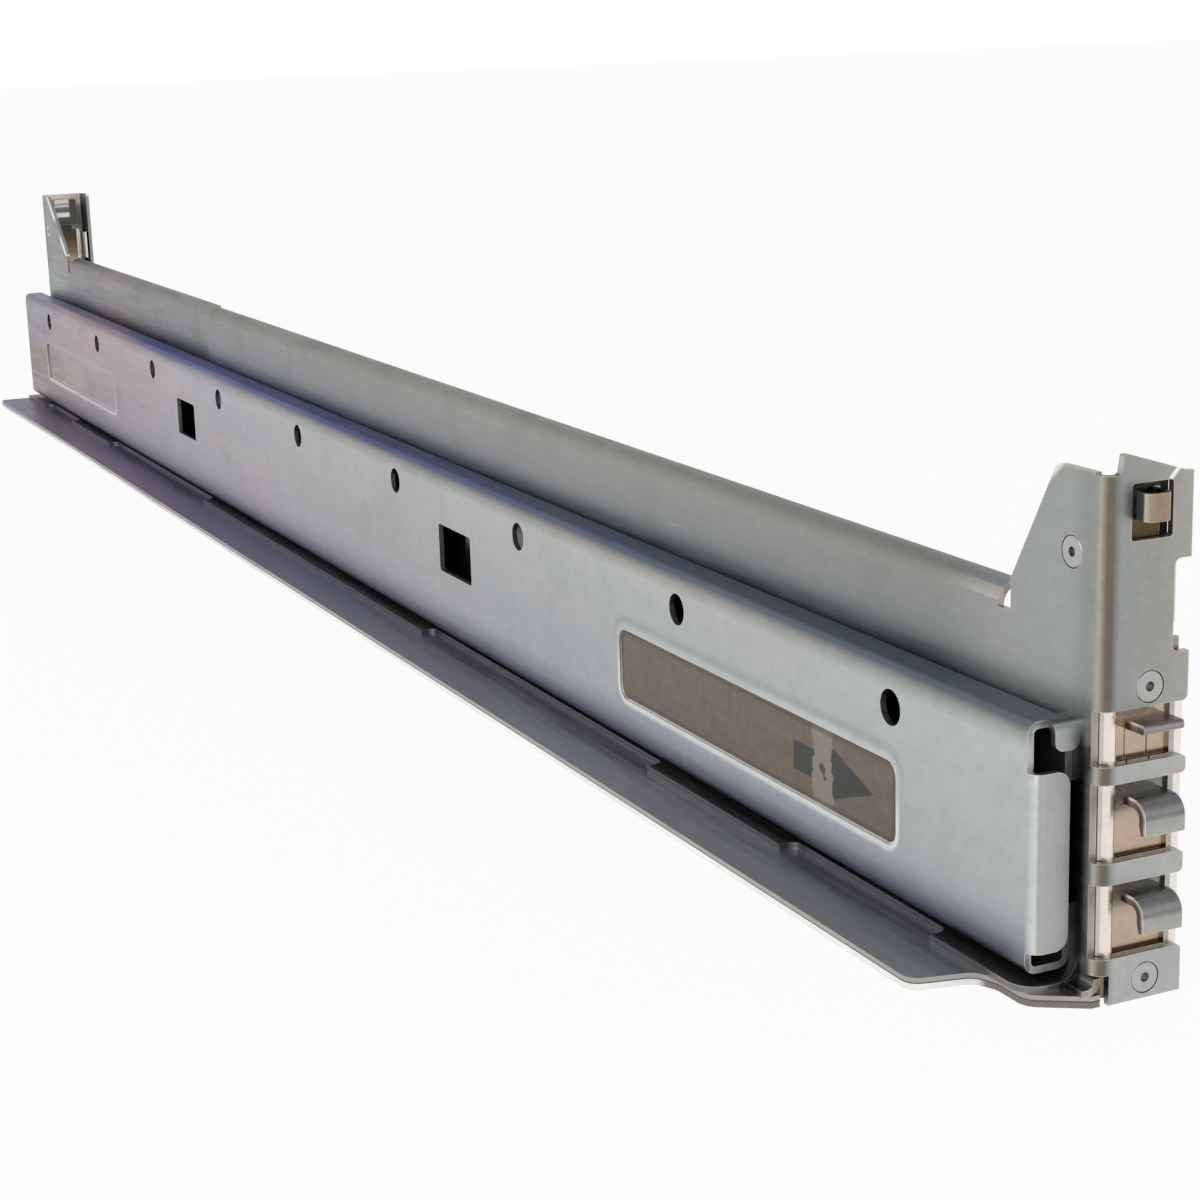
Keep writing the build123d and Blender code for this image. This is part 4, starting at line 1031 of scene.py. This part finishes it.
def area_lamp(name, place, target, size, power):
    """Square lamp at a place, turned to a target."""
    data = bpy.data.lights.new(name, "AREA")
    data.size = size
    data.energy = power
    lamp = bpy.data.objects.new(name, data)
    bpy.context.scene.collection.objects.link(lamp)
    aim = Vector(target) - Vector(place)
    lamp.rotation_euler = aim.to_track_quat("-Z", "Y").to_euler()
    lamp.location = place


def photo_camera():
    """Camera of the photograph."""
    yaw, pitch, roll = (math.radians(angle) for angle in CAMERA_DEGREES)
    ahead = np.array((-math.sin(yaw) * math.cos(pitch), math.cos(yaw) * math.cos(pitch),
                      -math.sin(pitch)))
    right = np.array((math.cos(yaw), math.sin(yaw), 0.0))
    down = np.cross(ahead, right)
    rolled_right = math.cos(roll) * right + math.sin(roll) * down
    rolled_down = math.cos(roll) * down - math.sin(roll) * right
    turn = np.stack((rolled_right, -rolled_down, -ahead), axis=1)
    data = bpy.data.cameras.new("photo_camera")
    data.sensor_width = 36.0
    data.lens = CAMERA_LENS
    data.clip_start = 0.01
    camera = bpy.data.objects.new("photo_camera", data)
    bpy.context.scene.collection.objects.link(camera)
    matrix = Matrix(turn.tolist()).to_4x4()
    matrix.translation = CAMERA_PLACE
    camera.matrix_world = matrix
    bpy.context.scene.camera = camera


class RAIL_OT_stage(bpy.types.Operator):
    """Set up the floor, lamps, surroundings and camera"""

    bl_idname = "rail.stage"
    bl_label = "Set up the studio"

    def execute(self, context):
        scene = context.scene
        stage = scene.rail_stage
        photo_camera()
        floor_z = CAD_BOX[0][2] - 0.05 * MM
        corners = [(x, y, floor_z) for x in (-6.0, 6.0) for y in (-6.0, 6.0)]
        mesh = bpy.data.meshes.new("floor")
        mesh.from_pydata(corners, [], [(0, 2, 3, 1)])
        floor = bpy.data.objects.new("floor", mesh)
        scene.collection.objects.link(floor)
        mesh.materials.append(floor_material(stage.floor))
        studio_world(stage.sky)
        middle = (-0.30, 0.0, 0.04)
        area_lamp("key_lamp", (0.35, -1.1, 0.75), middle, 1.0, stage.key_power)
        area_lamp("fill_lamp", (1.3, 0.2, 0.5), middle, 0.9, stage.fill_power)
        scene.view_settings.view_transform = "Standard"
        return {"FINISHED"}


class RAIL_PT_panel(bpy.types.Panel):
    """Buttons and values for the rail's finish"""

    bl_idname = "RAIL_PT_panel"
    bl_label = "Rack rail"
    bl_space_type = "VIEW_3D"
    bl_region_type = "UI"
    bl_category = "Rack rail"

    def draw(self, context):
        layout = self.layout
        for group in (context.scene.rail_finish, context.scene.rail_label,
                      context.scene.rail_stage):
            for key in group.bl_rna.properties.keys():
                if key not in {"rna_type", "name"}:
                    layout.prop(group, key)
        for operator in OPERATORS:
            layout.operator(operator.bl_idname)


GROUPS = {"rail_finish": RailFinish, "rail_label": RailLabel, "rail_stage": RailStage}
OPERATORS = (RAIL_OT_sheets, RAIL_OT_fittings, RAIL_OT_backings, RAIL_OT_label, RAIL_OT_stage)


def register():
    """Registers the classes and hangs the settings on the scene."""
    for name, group in GROUPS.items():
        bpy.utils.register_class(group)
        setattr(bpy.types.Scene, name, bpy.props.PointerProperty(type=group))
    for operator in OPERATORS:
        bpy.utils.register_class(operator)
    bpy.utils.register_class(RAIL_PT_panel)


def unregister():
    """Takes the classes and settings away again."""
    bpy.utils.unregister_class(RAIL_PT_panel)
    for operator in reversed(OPERATORS):
        bpy.utils.unregister_class(operator)
    for name, group in GROUPS.items():
        delattr(bpy.types.Scene, name)
        bpy.utils.unregister_class(group)


def main():
    """Runs every step in order."""
    register()
    bpy.ops.rail.sheets()
    bpy.ops.rail.fittings()
    bpy.ops.rail.backings()
    bpy.ops.rail.label()
    bpy.ops.rail.stage()


if __name__ == "__main__":
    main()
